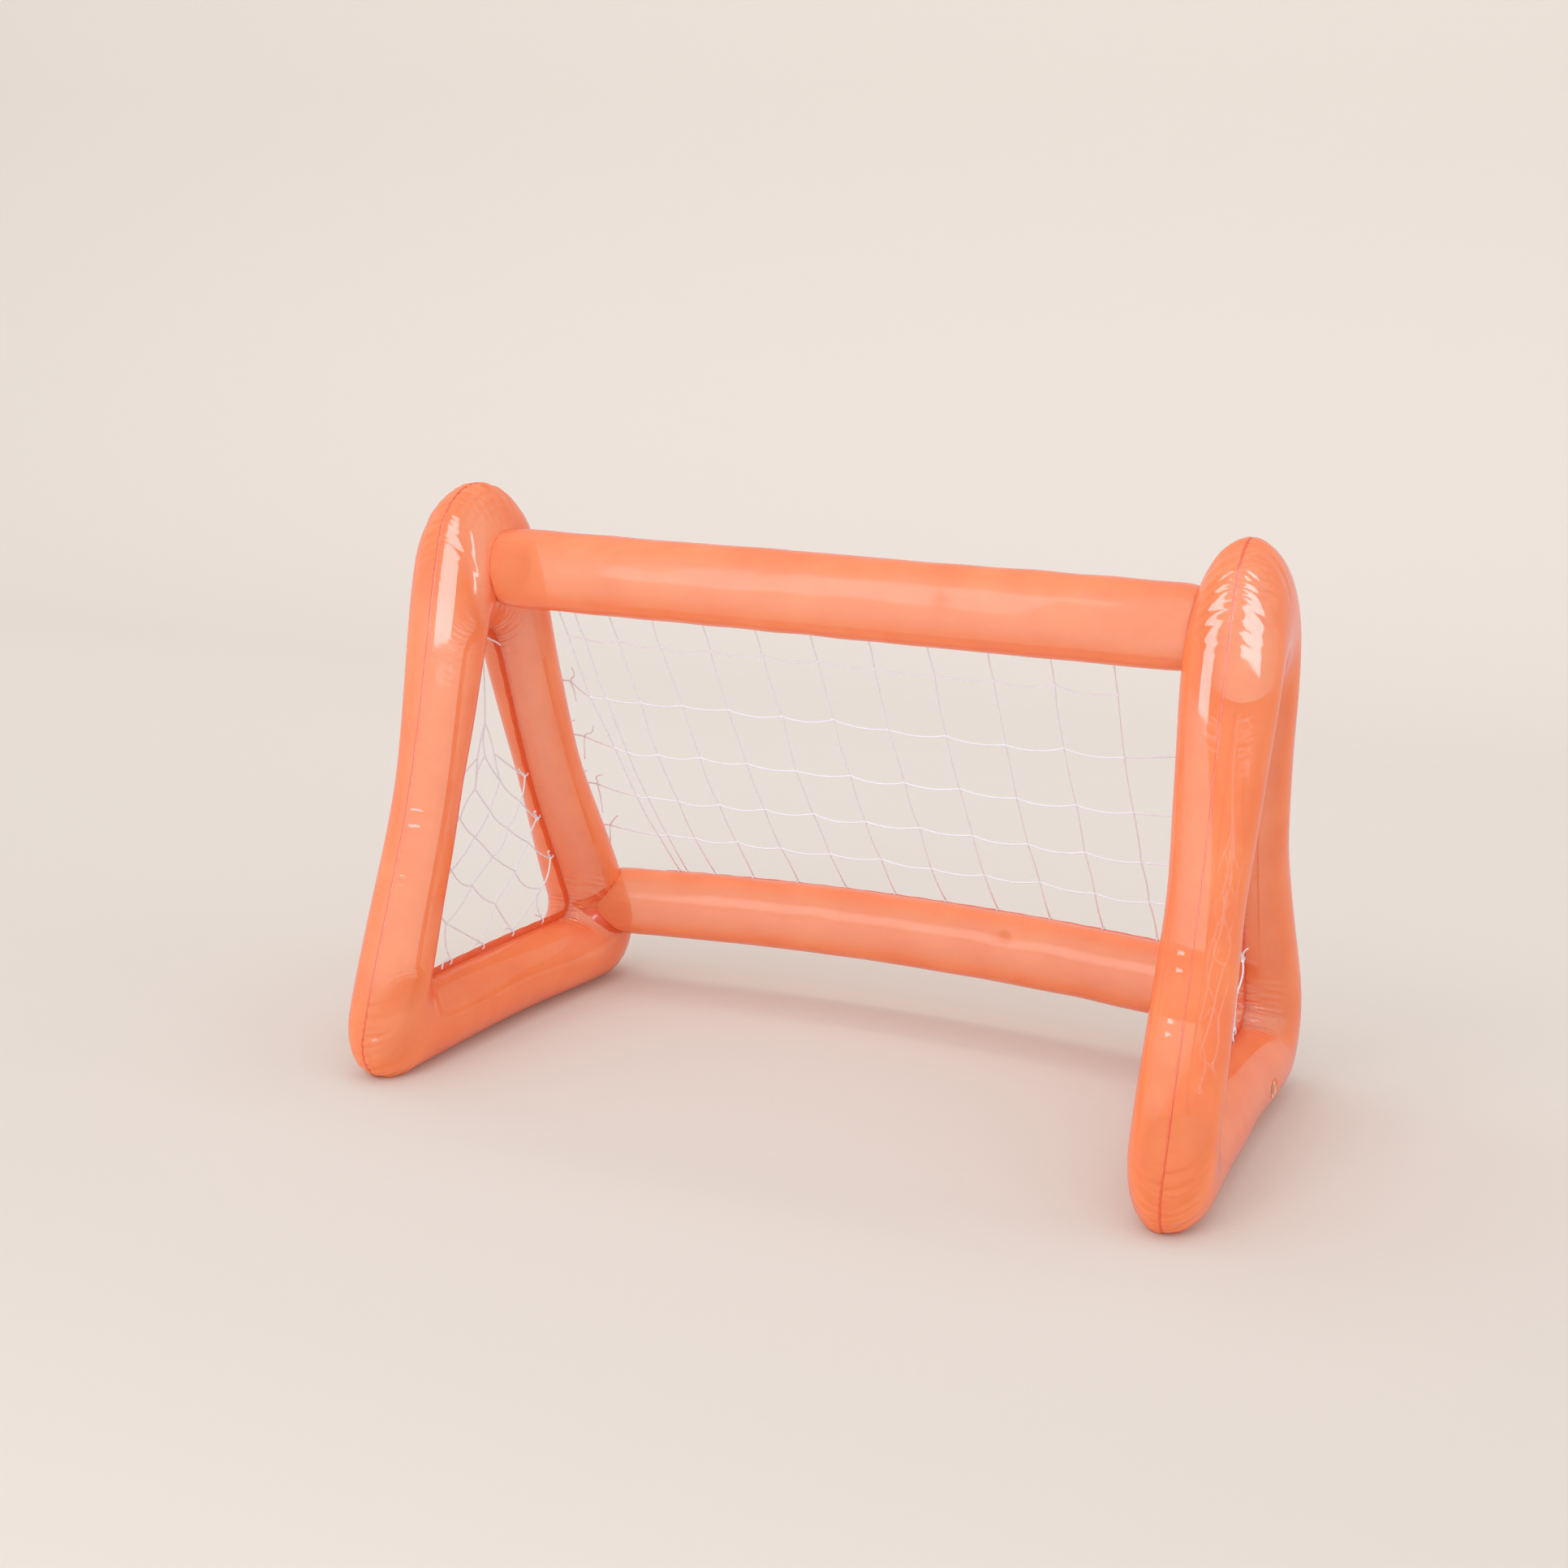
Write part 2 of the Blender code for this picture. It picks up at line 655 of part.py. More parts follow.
def side_net(side, look, frames):
    """Diamond meshes, pulled tall, that hang from the opening's top corner."""
    net = Net()
    lift = Vector((-tie_offset(), 0, 0))
    diagonal = Vector((0, 1, -1)), Vector((0, -1, -1))
    for key, point in opening_ties().items():
        net.knot(("near", key), hole_centre(point) + lift, *diagonal)
        net.knot(("far", key), hole_centre(point) - lift, *diagonal)
        net.string(("near", key), "-n", ("far", key), "+n")
        tail(net, key, point)
    straight = Vector((0, 1, 0)), Vector((0, 0, -1))
    net.knot("top", next(opening_row(TOP_KNOT, 0, 1)) + lift, *straight)
    net.string(("near", "peak"), "+u", "top", "-v")
    shares = [(NARROW_ROW, NARROW_SPREAD)]
    shares += [((a + b) / 2, 1) for a, b in zip(TIED_ROWS, TIED_ROWS[1:])]
    shares.append((LAST_ROW, 1))
    for row, (share, spread) in enumerate(shares):
        for k, at in enumerate(opening_row(share, spread, 3)):
            net.knot(("three", row, k), at + lift, *diagonal)
    for row, share in enumerate(TIED_ROWS):
        line = list(opening_row(share, 1, 3))
        for k in range(2):
            net.knot(("two", row, k), line[k].lerp(line[k + 1], 0.5) + lift, *diagonal)
    for k, (leaves, meets) in enumerate((("-u", "-v"), ("+v", "-v"), ("+u", "-u"))):
        net.string("top", leaves, ("three", 0, k), meets)
    tied = {}
    for row in range(len(TIED_ROWS)):
        tied[row] = [("near", ("front", row)), ("two", row, 0), ("two", row, 1), ("near", ("rear", row))]
    tied[len(TIED_ROWS)] = [("near", ("bottom", i)) for i in range(len(BOTTOM_TIES))]
    for row in range(len(shares)):
        for k in range(3):
            net.string(("three", row, k), "+v", tied[row][k], "-v")
            net.string(("three", row, k), "+u", tied[row][k + 1], "-u")
            if row < len(TIED_ROWS):
                net.string(tied[row][k], "+u", ("three", row + 1, k), "-u")
                net.string(tied[row][k + 1], "+v", ("three", row + 1, k), "-v")
    net.finish(side + "_side_net", look, frames[side])


def tail(net, key, point):
    """The cut end that a tied string leaves, lying along the seam and a little clear of it."""
    along = point.out.cross(point.across)
    along = -along if along.z < 0 or (abs(along.z) < 0.5 and along.y > 0) else along
    start = hole_centre(point) + Vector((tie_offset(), 0, 0))
    lean = point.out * TAIL_LEAN_OFF_SEAM + Vector((TAIL_LEAN_OUT, 0, 0))
    way = (along + lean).normalized()
    end = start + way * TAIL_LENGTH
    bend = start.lerp(end, TAIL_BEND_PLACE) + Vector((TAIL_BEND, 0, 0))
    net.knot(("tail", key), end, way, Vector((1, 0, 0)) - way * way.x, STRING_HALF)
    net.string(("far", key), "-n", ("tail", key), "-u", through=[bend])


# Valves

def valve(name, chamber, parent, matrix, looks):
    """A push-in valve: a flange with its sleeve, a sliding stem, a tethered cap and an inner flap."""
    base = guide(name + "_valve", parent, matrix)
    flange_top = -VALVE_FLANGE_DEPTH
    flange_foot = flange_top - VALVE_FLANGE_THICKNESS
    sleeve_foot = flange_foot - SLEEVE_LENGTH

    recess = [(VALVE_FLANGE_RADIUS + GAP, flange_foot - GAP), (VALVE_FLANGE_RADIUS + GAP, RECESS_REACH)]
    combine(chamber, place("recess_tool", stacked(recess), parent=base), "DIFFERENCE")
    pocket = [(POCKET_RADIUS, -POCKET_DEPTH), (POCKET_RADIUS, 0.0)]
    combine(chamber, place("pocket_tool", stacked(pocket), parent=base), "DIFFERENCE")

    sleeve_outside = SLEEVE_BORE + SLEEVE_WALL
    ring = turned([
        (SLEEVE_BORE, flange_top), (VALVE_FLANGE_RADIUS, flange_top), (VALVE_FLANGE_RADIUS, flange_foot),
        (sleeve_outside, flange_foot), (sleeve_outside, sleeve_foot), (SLEEVE_BORE, sleeve_foot),
    ])
    shade_round(place(name + "_valve_flange", ring, looks["valve"], base))

    rim_foot = flange_top + GAP
    rim_top = rim_foot + STEM_RIM_HEIGHT
    stem_foot = rim_top - STEM_LENGTH
    collar_top = stem_foot + STEM_COLLAR_HEIGHT
    tube = turned([
        (STEM_BORE, rim_top), (STEM_RIM_RADIUS, rim_top), (STEM_RIM_RADIUS, rim_foot),
        (STEM_RADIUS, rim_foot), (STEM_RADIUS, collar_top), (STEM_COLLAR_RADIUS, collar_top),
        (STEM_COLLAR_RADIUS, stem_foot), (STEM_BORE, stem_foot),
    ])
    stem = place(name + "_valve_stem", tube, looks["valve"], base)
    hinge_x = -STEM_RIM_RADIUS - STRAP_THICKNESS / 2
    hinge_z = rim_top + 2 * GAP + STRAP_THICKNESS
    lug = [
        (-STEM_RADIUS - GAP, rim_foot), (hinge_x - STRAP_THICKNESS, rim_foot),
        (hinge_x - STRAP_THICKNESS, rim_top + GAP / 3), (-STEM_RADIUS - GAP, rim_top + GAP / 3),
    ]
    combine(stem, place("lug_tool", prism(lug, STRAP_WIDTH), parent=base), "UNION")
    shade_round(stem)

    cap_foot = rim_top + GAP * 4 / 3
    cap = place(name + "_valve_cap", stacked([
        (PLUG_TIP_RADIUS, cap_foot - PLUG_LENGTH - hinge_z), (PLUG_RADIUS, cap_foot - hinge_z),
        (CAP_RADIUS, cap_foot - hinge_z), (CAP_RADIUS, cap_foot + CAP_THICKNESS - hinge_z),
    ]), looks["valve"], base)
    cap.data.transform(Matrix.Translation((-hinge_x, 0, 0)))
    cap.matrix_local = Matrix.Translation((hinge_x, 0, hinge_z))
    strap = hinge_strap(STRAP_THICKNESS / 2, -hinge_x - CAP_RADIUS / 2)
    combine(cap, place("strap_tool", prism(strap, STRAP_WIDTH), parent=cap), "UNION")
    shade_round(cap)

    flap_middle = stem_foot - GAP - FLAP_THICKNESS / 2
    flap_hinge = -FLAP_RADIUS - FLAP_THICKNESS
    disc = stacked([(FLAP_RADIUS, -FLAP_THICKNESS / 2), (FLAP_RADIUS, FLAP_THICKNESS / 2)])
    flap = place(name + "_valve_flap", disc, looks["seam"], base)
    flap.data.transform(Matrix.Translation((-flap_hinge, 0, 0)))
    flap.matrix_local = Matrix.Translation((flap_hinge, 0, flap_middle))
    tab = hinge_strap(FLAP_THICKNESS / 2, -flap_hinge - FLAP_RADIUS / 2)
    combine(flap, place("tab_tool", prism(tab, FLAP_TAB_WIDTH), parent=flap), "UNION")
    shade_round(flap)


def hinge_strap(radius, reach):
    """A strap's outline along X, with a round end about the hinge at the origin."""
    turns = [pi / 2 + pi * k / 4 for k in range(5)]
    return [(reach, -radius), (reach, radius)] + [(radius * cos(t), radius * sin(t)) for t in turns]


def valve_axes(at, out, up):
    """A matrix at a point with Z along the way out and -X, the hinges' side, along the way up."""
    z = out.normalized()
    x = -(up - z * up.dot(z)).normalized()
    y = z.cross(x)
    turn = Matrix((x, y, z)).transposed().to_4x4()
    return Matrix.Translation(at) @ turn


def frame_valve_matrix(side):
    """On the outer face of the bottom tube, towards the rear corner."""
    section = leg_section(LEGS["bottom"], FRAME_VALVE_PLACE)
    middle = (section.outer + section.inner) / 2
    out = Vector((SIDES[side], 0, 0))
    return valve_axes(Vector((SIDES[side] * section.half, middle.x, middle.y)), out, Vector((0, 0, 1)))


def bar_valve_matrix(centre, radius):
    """On the back of a bar, square to it."""
    step = 0.001
    along = centre(BAR_VALVE_OFFSET + step) - centre(BAR_VALVE_OFFSET - step)
    out = Vector((0, 0, 1)).cross(along).normalized()
    return valve_axes(centre(BAR_VALVE_OFFSET) + out * radius, out, Vector((0, 0, 1)))


# The goal

def make_chambers(looks, frames):
    chambers = {}
    for side in SIDES:
        chambers[side] = place(side + "_side_frame", frame_mesh(), looks["film"], frames[side])
    bars = {
        "top": (top_bar_centre, TOP_BAR_RADIUS, TOP_BAR_END_RADIUS, TOP_HALF),
        "rear": (rear_bar_centre, REAR_BAR_RADIUS, REAR_BAR_END_RADIUS, REAR_HALF),
    }
    for name, (centre, radius, end_radius, half) in bars.items():
        bar = place(name + "_crossbar", bar_mesh(centre, radius, end_radius, half), looks["film"])
        trim_by_frames(bar, frames, GAP + DISC_THICKNESS + GAP)
        chambers[name] = bar
        for side in SIDES:
            disc_name = f"{name}_crossbar_{side}_end_disc"
            end_disc(disc_name, side, centre, end_radius, half, frames, looks["film"])
    return chambers


def make_valves(chambers, looks, frames):
    for side in SIDES:
        valve(side + "_frame", chambers[side], frames[side], frame_valve_matrix(side), looks)
    top = bar_valve_matrix(top_bar_centre, TOP_BAR_RADIUS)
    rear = bar_valve_matrix(rear_bar_centre, REAR_BAR_RADIUS)
    valve("top_bar", chambers["top"], None, top, looks)
    valve("rear_bar", chambers["rear"], None, rear, looks)
    for chamber in chambers.values():
        shade_round(chamber)


def make_flanges(looks, frames):
    seam = looks["seam"]
    top_end = half_span(top_bar_centre(0).y) - TOP_HALF - BAR_SHOULDER - BAR_FLANGE_MARGIN
    rear_end = half_span(rear_bar_centre(FRAME_SPACING / 2).y) - REAR_HALF - BAR_SHOULDER - BAR_FLANGE_MARGIN
    shares = [2 * k / BAR_STEPS - 1 for k in range(BAR_STEPS + 1)]
    top = [top_point(top_end * share) for share in (-1, 1)]
    rear = [rear_point(rear_end * share) for share in shares]
    flange("top_crossbar_net_flange", top, [top_point(x) for x in column_places()], False, seam)
    flange("rear_crossbar_net_flange", rear, [rear_point(x) for x in foot_places()], False, seam)
    # The strips turn where the frames' own sections are, so they stand an even gap off the tubes
    ring = [in_frame(section.inner, -section.normal) for section in frame_sections()]
    back = [back_point(k / (LEG_STEPS + 1)) for k in range(1, LEG_STEPS)]
    back_holes = [back_point(t) for t in back_ties().values()]
    for side in SIDES:
        holes = list(opening_ties().values())
        flange(side + "_opening_net_flange", ring, holes, True, seam, frames[side])
        flange(side + "_back_seam_net_flange", back, back_holes, False, seam, frames[side])


def main():
    for item in list(bpy.data.objects):
        bpy.data.objects.remove(item, do_unlink=True)
    looks = make_materials()
    frames = {side: guide(side + "_frame_axes", matrix=frame_matrix(side)) for side in SIDES}
    chambers = make_chambers(looks, frames)
    make_valves(chambers, looks, frames)
    make_flanges(looks, frames)
    back_net(looks["string"])
    for side in SIDES:
        side_net(side, looks["string"], frames)
    bpy.context.view_layer.update()


main()
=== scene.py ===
# %% [markdown]
# # An inflatable goal
#
# The goal is four air chambers of soft coral-coloured PVC film, held up by nothing but air. Two triangular
# frames stand on the ground, a crossbar joins their tops and a bowed bar joins their rear corners. Three
# string nets are tied to punched strips of film along the welds.
#
# What makes such a toy look real is mostly the film: it lets light through, it is darker where it is seen
# edge-on or doubled, it mirrors the lamps in long stripes, and it puckers along every weld. So most of this
# lesson goes into the shape of those puckers and into one material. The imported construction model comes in
# first and stays where it is. Each piece made here rides on one of its bodies.

# %% Load the construction model
from math import cos, pi, radians, sin, sqrt

import bmesh
import bpy
import numpy as np
from mathutils import Matrix, Vector, bvhtree


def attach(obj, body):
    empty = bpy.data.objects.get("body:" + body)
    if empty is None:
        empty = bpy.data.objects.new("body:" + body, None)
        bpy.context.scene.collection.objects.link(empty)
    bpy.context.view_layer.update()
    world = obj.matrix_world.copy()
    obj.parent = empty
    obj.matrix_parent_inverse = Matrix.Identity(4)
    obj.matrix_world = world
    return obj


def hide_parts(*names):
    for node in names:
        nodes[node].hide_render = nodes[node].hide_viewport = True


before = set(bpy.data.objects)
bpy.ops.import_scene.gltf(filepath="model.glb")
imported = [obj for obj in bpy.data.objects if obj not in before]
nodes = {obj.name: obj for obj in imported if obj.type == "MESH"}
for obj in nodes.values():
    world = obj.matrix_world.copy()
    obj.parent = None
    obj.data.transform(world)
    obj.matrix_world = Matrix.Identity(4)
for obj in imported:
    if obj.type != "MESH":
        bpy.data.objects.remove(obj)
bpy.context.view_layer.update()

# %% [markdown]
# ## The camera
#
# The camera's place and lens come from a fit of the goal's outline to the photograph. The camera stands a
# little right of the mouth and above it, and it leans by less than two degrees. A camera object looks down
# its own -Z with +X to the right, so the three axes of its matrix are image right, image up and backwards.

# %% Camera
PHOTO_SIZE = 1932
FOCAL_PIXELS = 2676.5
SENSOR_WIDTH = 36.0
CAMERA_PLACE = Vector((1.215, -3.0504, 1.2089))
AZIMUTH, ELEVATION, ROLL = radians(23.34), radians(12.63), radians(-1.82)


def placed(name, data):
    """A new object at the origin, linked to the scene."""
    made = bpy.data.objects.new(name, data)
    bpy.context.scene.collection.objects.link(made)
    return made


def make_camera():
    forward = Vector((-cos(ELEVATION) * sin(AZIMUTH), cos(ELEVATION) * cos(AZIMUTH), -sin(ELEVATION)))
    level = Vector((cos(AZIMUTH), sin(AZIMUTH), 0))
    down = forward.cross(level)
    right = cos(ROLL) * level + sin(ROLL) * down
    up = sin(ROLL) * level - cos(ROLL) * down
    data = bpy.data.cameras.new("camera")
    data.sensor_width = SENSOR_WIDTH
    data.lens = FOCAL_PIXELS / PHOTO_SIZE * SENSOR_WIDTH
    camera = placed("camera", data)
    turned = Matrix((right, up, -forward)).transposed().to_4x4()
    camera.matrix_world = Matrix.Translation(CAMERA_PLACE) @ turned
    bpy.context.scene.camera = camera
    return camera


camera = make_camera()
print("lens", round(camera.data.lens, 2), "mm")

# %% [markdown]
# ## The shape of a side frame
#
# A side frame is cut from two flat sheets that are welded together round the outside and round the
# opening. Blown up, its section is close to an ellipse that runs from the outer weld to the inner weld.
# So the shape needs only three rules: where the outer weld runs, where the inner weld runs, and how thick
# the tube is there. Each corner is two arcs, and each leg is a pair of nearly straight lines that swell
# a little at mid length.

# %% Sizes of the side frame, in metres
FRAME_SPACING = 1.200
TOE_OUT = radians(2.2)
REAR_Y = 0.28053
CORNERS = {
    "front": {"centre": (-0.606, 0.0615), "radius": 0.0655, "fillet": 0.030, "half": 0.060},
    "rear": {"centre": (0.0, 0.081), "radius": 0.085, "fillet": 0.023, "half": 0.077},
    "top": {"centre": (-0.358, 0.802), "radius": 0.106, "fillet": 0.055, "half": 0.068},
}
LEGS = [
    {"name": "bottom", "ends": ("front", "rear"), "width": 0.130, "half": 0.065,
     "waist": 0.006, "bulge": 0.002},
    {"name": "rear_leg", "ends": ("rear", "top"), "width": 0.115, "half": 0.057,
     "waist": 0.017, "bulge": 0.012},
    {"name": "front_leg", "ends": ("top", "front"), "width": 0.113, "half": 0.054,
     "waist": 0.022, "bulge": 0.012},
]
SIDES = {"left": -1, "right": 1}
# About the angle that a corner turns through, in radians
CORNER_TURN = 2.1
# At each end of a leg the film is still gathered, over a share of one in this many
GATHERED_SHARE = 7
print("frame sizes:", len(CORNERS), "corners and", len(LEGS), "legs, in metres")

# %% Rules for its sections
def smooth(t):
    t = np.clip(t, 0, 1)
    return t * t * (3 - 2 * t)


def leg_normal(leg):
    """The outward normal of the line that touches a leg's two corner circles."""
    a, b = (CORNERS[name] for name in leg["ends"])
    along = np.subtract(b["centre"], a["centre"])
    lean = (a["radius"] - b["radius"]) / np.hypot(*along)
    along = along / np.hypot(*along)
    return lean * along + sqrt(1 - lean * lean) * np.array([along[1], -along[0]])


def inner_centre(name):
    """The centre of the opening's rounded corner."""
    corner = CORNERS[name]
    legs = [leg for leg in LEGS if name in leg["ends"]]
    normals = np.array([leg_normal(leg) for leg in legs])
    reach = [n @ corner["centre"] + corner["radius"] - leg["width"] - corner["fillet"]
             for n, leg in zip(normals, legs)]
    return np.linalg.solve(normals, reach)


def leg_section(leg, t):
    """The outer weld, the inner weld, the half thickness and the outward normal at shares t of a leg."""
    t = np.atleast_1d(t)[:, None]
    n = leg_normal(leg)
    a, b = (CORNERS[name] for name in leg["ends"])
    swell = 16 * t * t * (1 - t) * (1 - t)
    outer = (np.add(a["centre"], n * a["radius"])) * (1 - t) + (np.add(b["centre"], n * b["radius"])) * t
    inner = (inner_centre(leg["ends"][0]) + n * a["fillet"]) * (1 - t)
    inner = inner + (inner_centre(leg["ends"][1]) + n * b["fillet"]) * t
    half = leg["half"] + (a["half"] - leg["half"]) * (1 - smooth(2 * t))
    half = half + (b["half"] - leg["half"]) * smooth(2 * t - 1)
    normal = np.repeat(n[None], len(t), 0)
    return outer - n * leg["waist"] * swell, inner - n * leg["bulge"] * swell, half[:, 0], normal


def corner_section(name, before, after, count):
    """The same round a corner, at evenly turned steps from the leg before it to the leg after it."""
    start, end = leg_normal(before), leg_normal(after)
    first = np.arctan2(start[1], start[0])
    turn = (np.arctan2(end[1], end[0]) - first) % (2 * pi)
    angle = first + turn * np.arange(count) / count
    way = np.stack([np.cos(angle), np.sin(angle)], 1)
    corner = CORNERS[name]
    outer = corner["centre"] + way * corner["radius"]
    inner = inner_centre(name) + way * corner["fillet"]
    return outer, inner, np.full(count, corner["half"]), way


def frame_sections(fine, wide):
    """Sections all round the frame, a fine step apart round the corners and a wide one down the legs."""
    parts, tightness = [], []
    for i, leg in enumerate(LEGS):
        corner = CORNERS[leg["ends"][0]]
        count = int(corner["radius"] * CORNER_TURN / fine)
        parts.append(corner_section(leg["ends"][0], LEGS[i - 1], leg, count))
        tightness.append(np.ones(count))
        ends = leg_section(leg, [0, 1])[0]
        count = int(np.hypot(*(ends[1] - ends[0])) / wide)
        t = np.arange(count) / count
        parts.append(leg_section(leg, t))
        from_end = np.minimum(t, 1 - t)
        tightness.append(1 - smooth(from_end * GATHERED_SHARE))
    outer, inner, half, normal = (np.concatenate([p[k] for p in parts]) for k in range(4))
    return outer, inner, half, normal, np.concatenate(tightness)


def to_goal(side, points):
    """Points in a frame's own axes (x across it, y from its rear corner, z up), in the goal's axes."""
    sign = SIDES[side]
    c, s = cos(sign * TOE_OUT), sin(sign * TOE_OUT)
    x, y, z = points[..., 0], points[..., 1], points[..., 2]
    return np.stack([sign * FRAME_SPACING / 2 + c * x - s * y, REAR_Y + s * x + c * y, z], -1)


FINE_STEP, WIDE_STEP = 0.0025, 0.0037
outer, inner, *_ = frame_sections(FINE_STEP, WIDE_STEP)
print("sections round a frame:", len(outer), "opening's lowest point:", inner[:, 1].min().round(3))

# %% [markdown]
# ## Node helpers
#
# Blender works in linear light, and colours are easier to read and compare as sRGB hex, so one function turns
# the one into the other. Another adds a node with its settings and links, for materials and Geometry Nodes
# alike. Without it, each node would take four or five lines.

# %% Node helpers
def linear(hex_colour):
    """A colour written as sRGB hex, in linear light."""
    values = [int(hex_colour[i:i + 2], 16) / 255 for i in (1, 3, 5)]
    return tuple(v / 12.92 if v <= 0.04045 else ((v + 0.055) / 1.055) ** 2.4 for v in values) + (1.0,)


def fill(tree, node, **inputs):
    """Sets a node's inputs, by name or as i and a number, to values, hex colours or sockets to link."""
    for title, value in inputs.items():
        by_number = title[0] == "i" and title[1:].isdigit()
        socket = node.inputs[int(title[1:]) if by_number else title.replace("_", " ")]
        if isinstance(value, bpy.types.NodeSocket):
            tree.links.new(value, socket)
        elif isinstance(value, str) and value.startswith("#"):
            socket.default_value = linear(value)
        else:
            socket.default_value = value


def add(tree, kind, settings=None, **inputs):
    """A new node with its settings and inputs."""
    node = tree.nodes.new(kind)
    for title, value in (settings or {}).items():
        setattr(node, title, value)
    fill(tree, node, **inputs)
    return node


def new_material(name):
    made = bpy.data.materials.new(name)
    made.use_nodes = True
    return made, made.node_tree, made.node_tree.nodes["Principled BSDF"]


def dress(item, look):
    """Gives a piece one material in place of all it had."""
    item.data.materials.clear()
    item.data.materials.append(look)


print("coral in linear light:", [round(v, 3) for v in linear("#FDA062")])

# %% [markdown]
# ## Puckers
#
# A flat weld can't shorten when the tube beside it curves, so the film gathers into puckers across the
# weld: close and deep round the corners, small and wide apart on the straight legs. Each pucker is a short
# groove that starts at the weld, widens and dies out. They could be painted on as bumps, but the lamps'
# stripes only break into the jagged steps that real film shows if the surface itself is grooved, so they
# are pressed into the mesh. A seeded random generator gives each one its own place, length and depth.

# %% Pucker fields
PUCKER_SPACING = 0.0085
LOOSE_SPACING = 0.034
GROOVE_WIDTH, GROOVE_GROWTH, GROOVE_SPREAD, GROOVE_START = 0.0013, 0.0014, 0.06, 0.0035
RIPPLE_WAVES = 9


def pucker_field(rng, along, away, length, tightness, reach, depth):
    """Grooves across a weld: along is the place on it, away the distance from it. Both are arrays alike."""
    field = np.zeros_like(away)
    at = 0.0
    while at < length:
        strength = np.interp(at, along[:, 0], tightness)
        size = rng.uniform(0.30, 1.0)
        long = reach * (0.25 + 0.75 * size) * (0.30 + 0.70 * strength)
        deep = depth * size * (0.22 + 0.78 * strength)
        width = GROOVE_WIDTH + GROOVE_GROWTH * size + GROOVE_SPREAD * away
        offset = along - at - rng.uniform(-0.22, 0.22) * away
        offset = (offset + length / 2) % length - length / 2
        fade = np.exp(-(away / long) ** 2) * (0.25 + 0.75 * smooth(away / GROOVE_START))
        # A groove with a low bank on either side
        banks = 0.35 * np.exp(-((np.abs(offset) - 2.2 * width) / width) ** 2)
        field -= deep * fade * (np.exp(-(offset / width) ** 2) - banks)
        at += (PUCKER_SPACING + LOOSE_SPACING * (1 - strength)) * rng.uniform(0.55, 1.45)
    return field


def ripple(rng, u, v, length, size):
    """A soft, endless unevenness: waves of random direction that close up after the length u runs over."""
    total = np.zeros_like(u)
    for _ in range(RIPPLE_WAVES):
        turns = rng.integers(2, 14)
        slant = rng.integers(-4, 5)
        total += rng.uniform(0.3, 1) * np.cos(2 * pi * turns * u / length + slant * v + rng.uniform(0, 2 * pi))
    return total * size / 3


def on_sheet(v, sheet):
    """1 on one of the two sheets that a tube is welded from, and 0 on the other."""
    return np.where(np.sign(np.sin(v + 1e-9)) == sheet, 1.0, 0.0)


print("puckers", PUCKER_SPACING * 1000, "mm apart where the film is tight")

# %% [markdown]
# ## Film from a grid
#
# Every chamber is one grid of points: rows along the tube, columns round it. The columns stand closer
# together near the welds, where the puckers and the weld's own ridge need them. The mesh also carries how
# far each point is from a weld, as an attribute that the material reads.

# %% Grid helpers
TUBE_RADIUS = 0.058
NEAR_WELD = [0.0, 0.0004, 0.0009, 0.0016, 0.0028, 0.0044, 0.0066, 0.0094, 0.0128, 0.0168]
FIRST_WIDE, WIDE_PITCH = 0.0214, 0.0055
SHARP_ANGLE = radians(40)
RIDGE_WIDTH = 0.0008


def turn_outwards(data):
    """Turns a closed mesh's faces outwards."""
    mesh = bmesh.new()
    mesh.from_mesh(data)
    bmesh.ops.recalc_face_normals(mesh, faces=mesh.faces)
    mesh.to_mesh(data)
    mesh.free()


def film_mesh(name, points, weld, along, closed=True):
    """A quad mesh from a grid of points. Attributes keep the distance from the weld and the place along it."""
    rows, columns = points.shape[:2]
    i = np.arange(rows if closed else rows - 1)[:, None]
    j = np.arange(columns)[None]
    k, m = (i + 1) % rows, (j + 1) % columns
    corners = (i * columns + j, i * columns + m, k * columns + m, k * columns + j)
    quads = np.stack(np.broadcast_arrays(*corners), -1).reshape(-1, 4)
    data = bpy.data.meshes.new(name)
    data.from_pydata(points.reshape(-1, 3), [], quads.tolist())
    for title, values in (("weld_distance", weld), ("along", along)):
        layer = data.attributes.new(title, "FLOAT", "POINT")
        layer.data.foreach_set("value", values.astype(np.float32).ravel())
    data.shade_smooth()
    turn_outwards(data)
    return placed(name, data)


def solid_mesh(name, verts, faces):
    """A mesh from points and faces, with its faces turned outwards and its sharp edges kept."""
    data = bpy.data.meshes.new(name)
    data.from_pydata([tuple(v) for v in verts], [], faces)
    turn_outwards(data)
    data.shade_smooth()
    data.set_sharp_from_angle(angle=SHARP_ANGLE)
    return placed(name, data)


def quarter_steps(reach):
    """Distances from a weld to a tube's crown: close at the weld and wider away from it."""
    count = max(int((reach - FIRST_WIDE) / WIDE_PITCH), 2)
    return NEAR_WELD + list(np.linspace(FIRST_WIDE, reach, count))


def round_angles(radius):
    """Angles round a tube that has a weld at 0 and another at half a turn."""
    quarter = np.array(quarter_steps(radius * pi / 2)) / radius
    first = np.concatenate([quarter, pi - quarter[-2::-1]])
    return np.concatenate([first, first[1:-1] + pi])


def weld_ridge(away, height):
    """The trimmed edge of a weld, which stands proud of the tube as a thin fin."""
    return height * np.exp(-(away / RIDGE_WIDTH) ** 4)


print("points round a frame's tube:", len(round_angles(TUBE_RADIUS)))

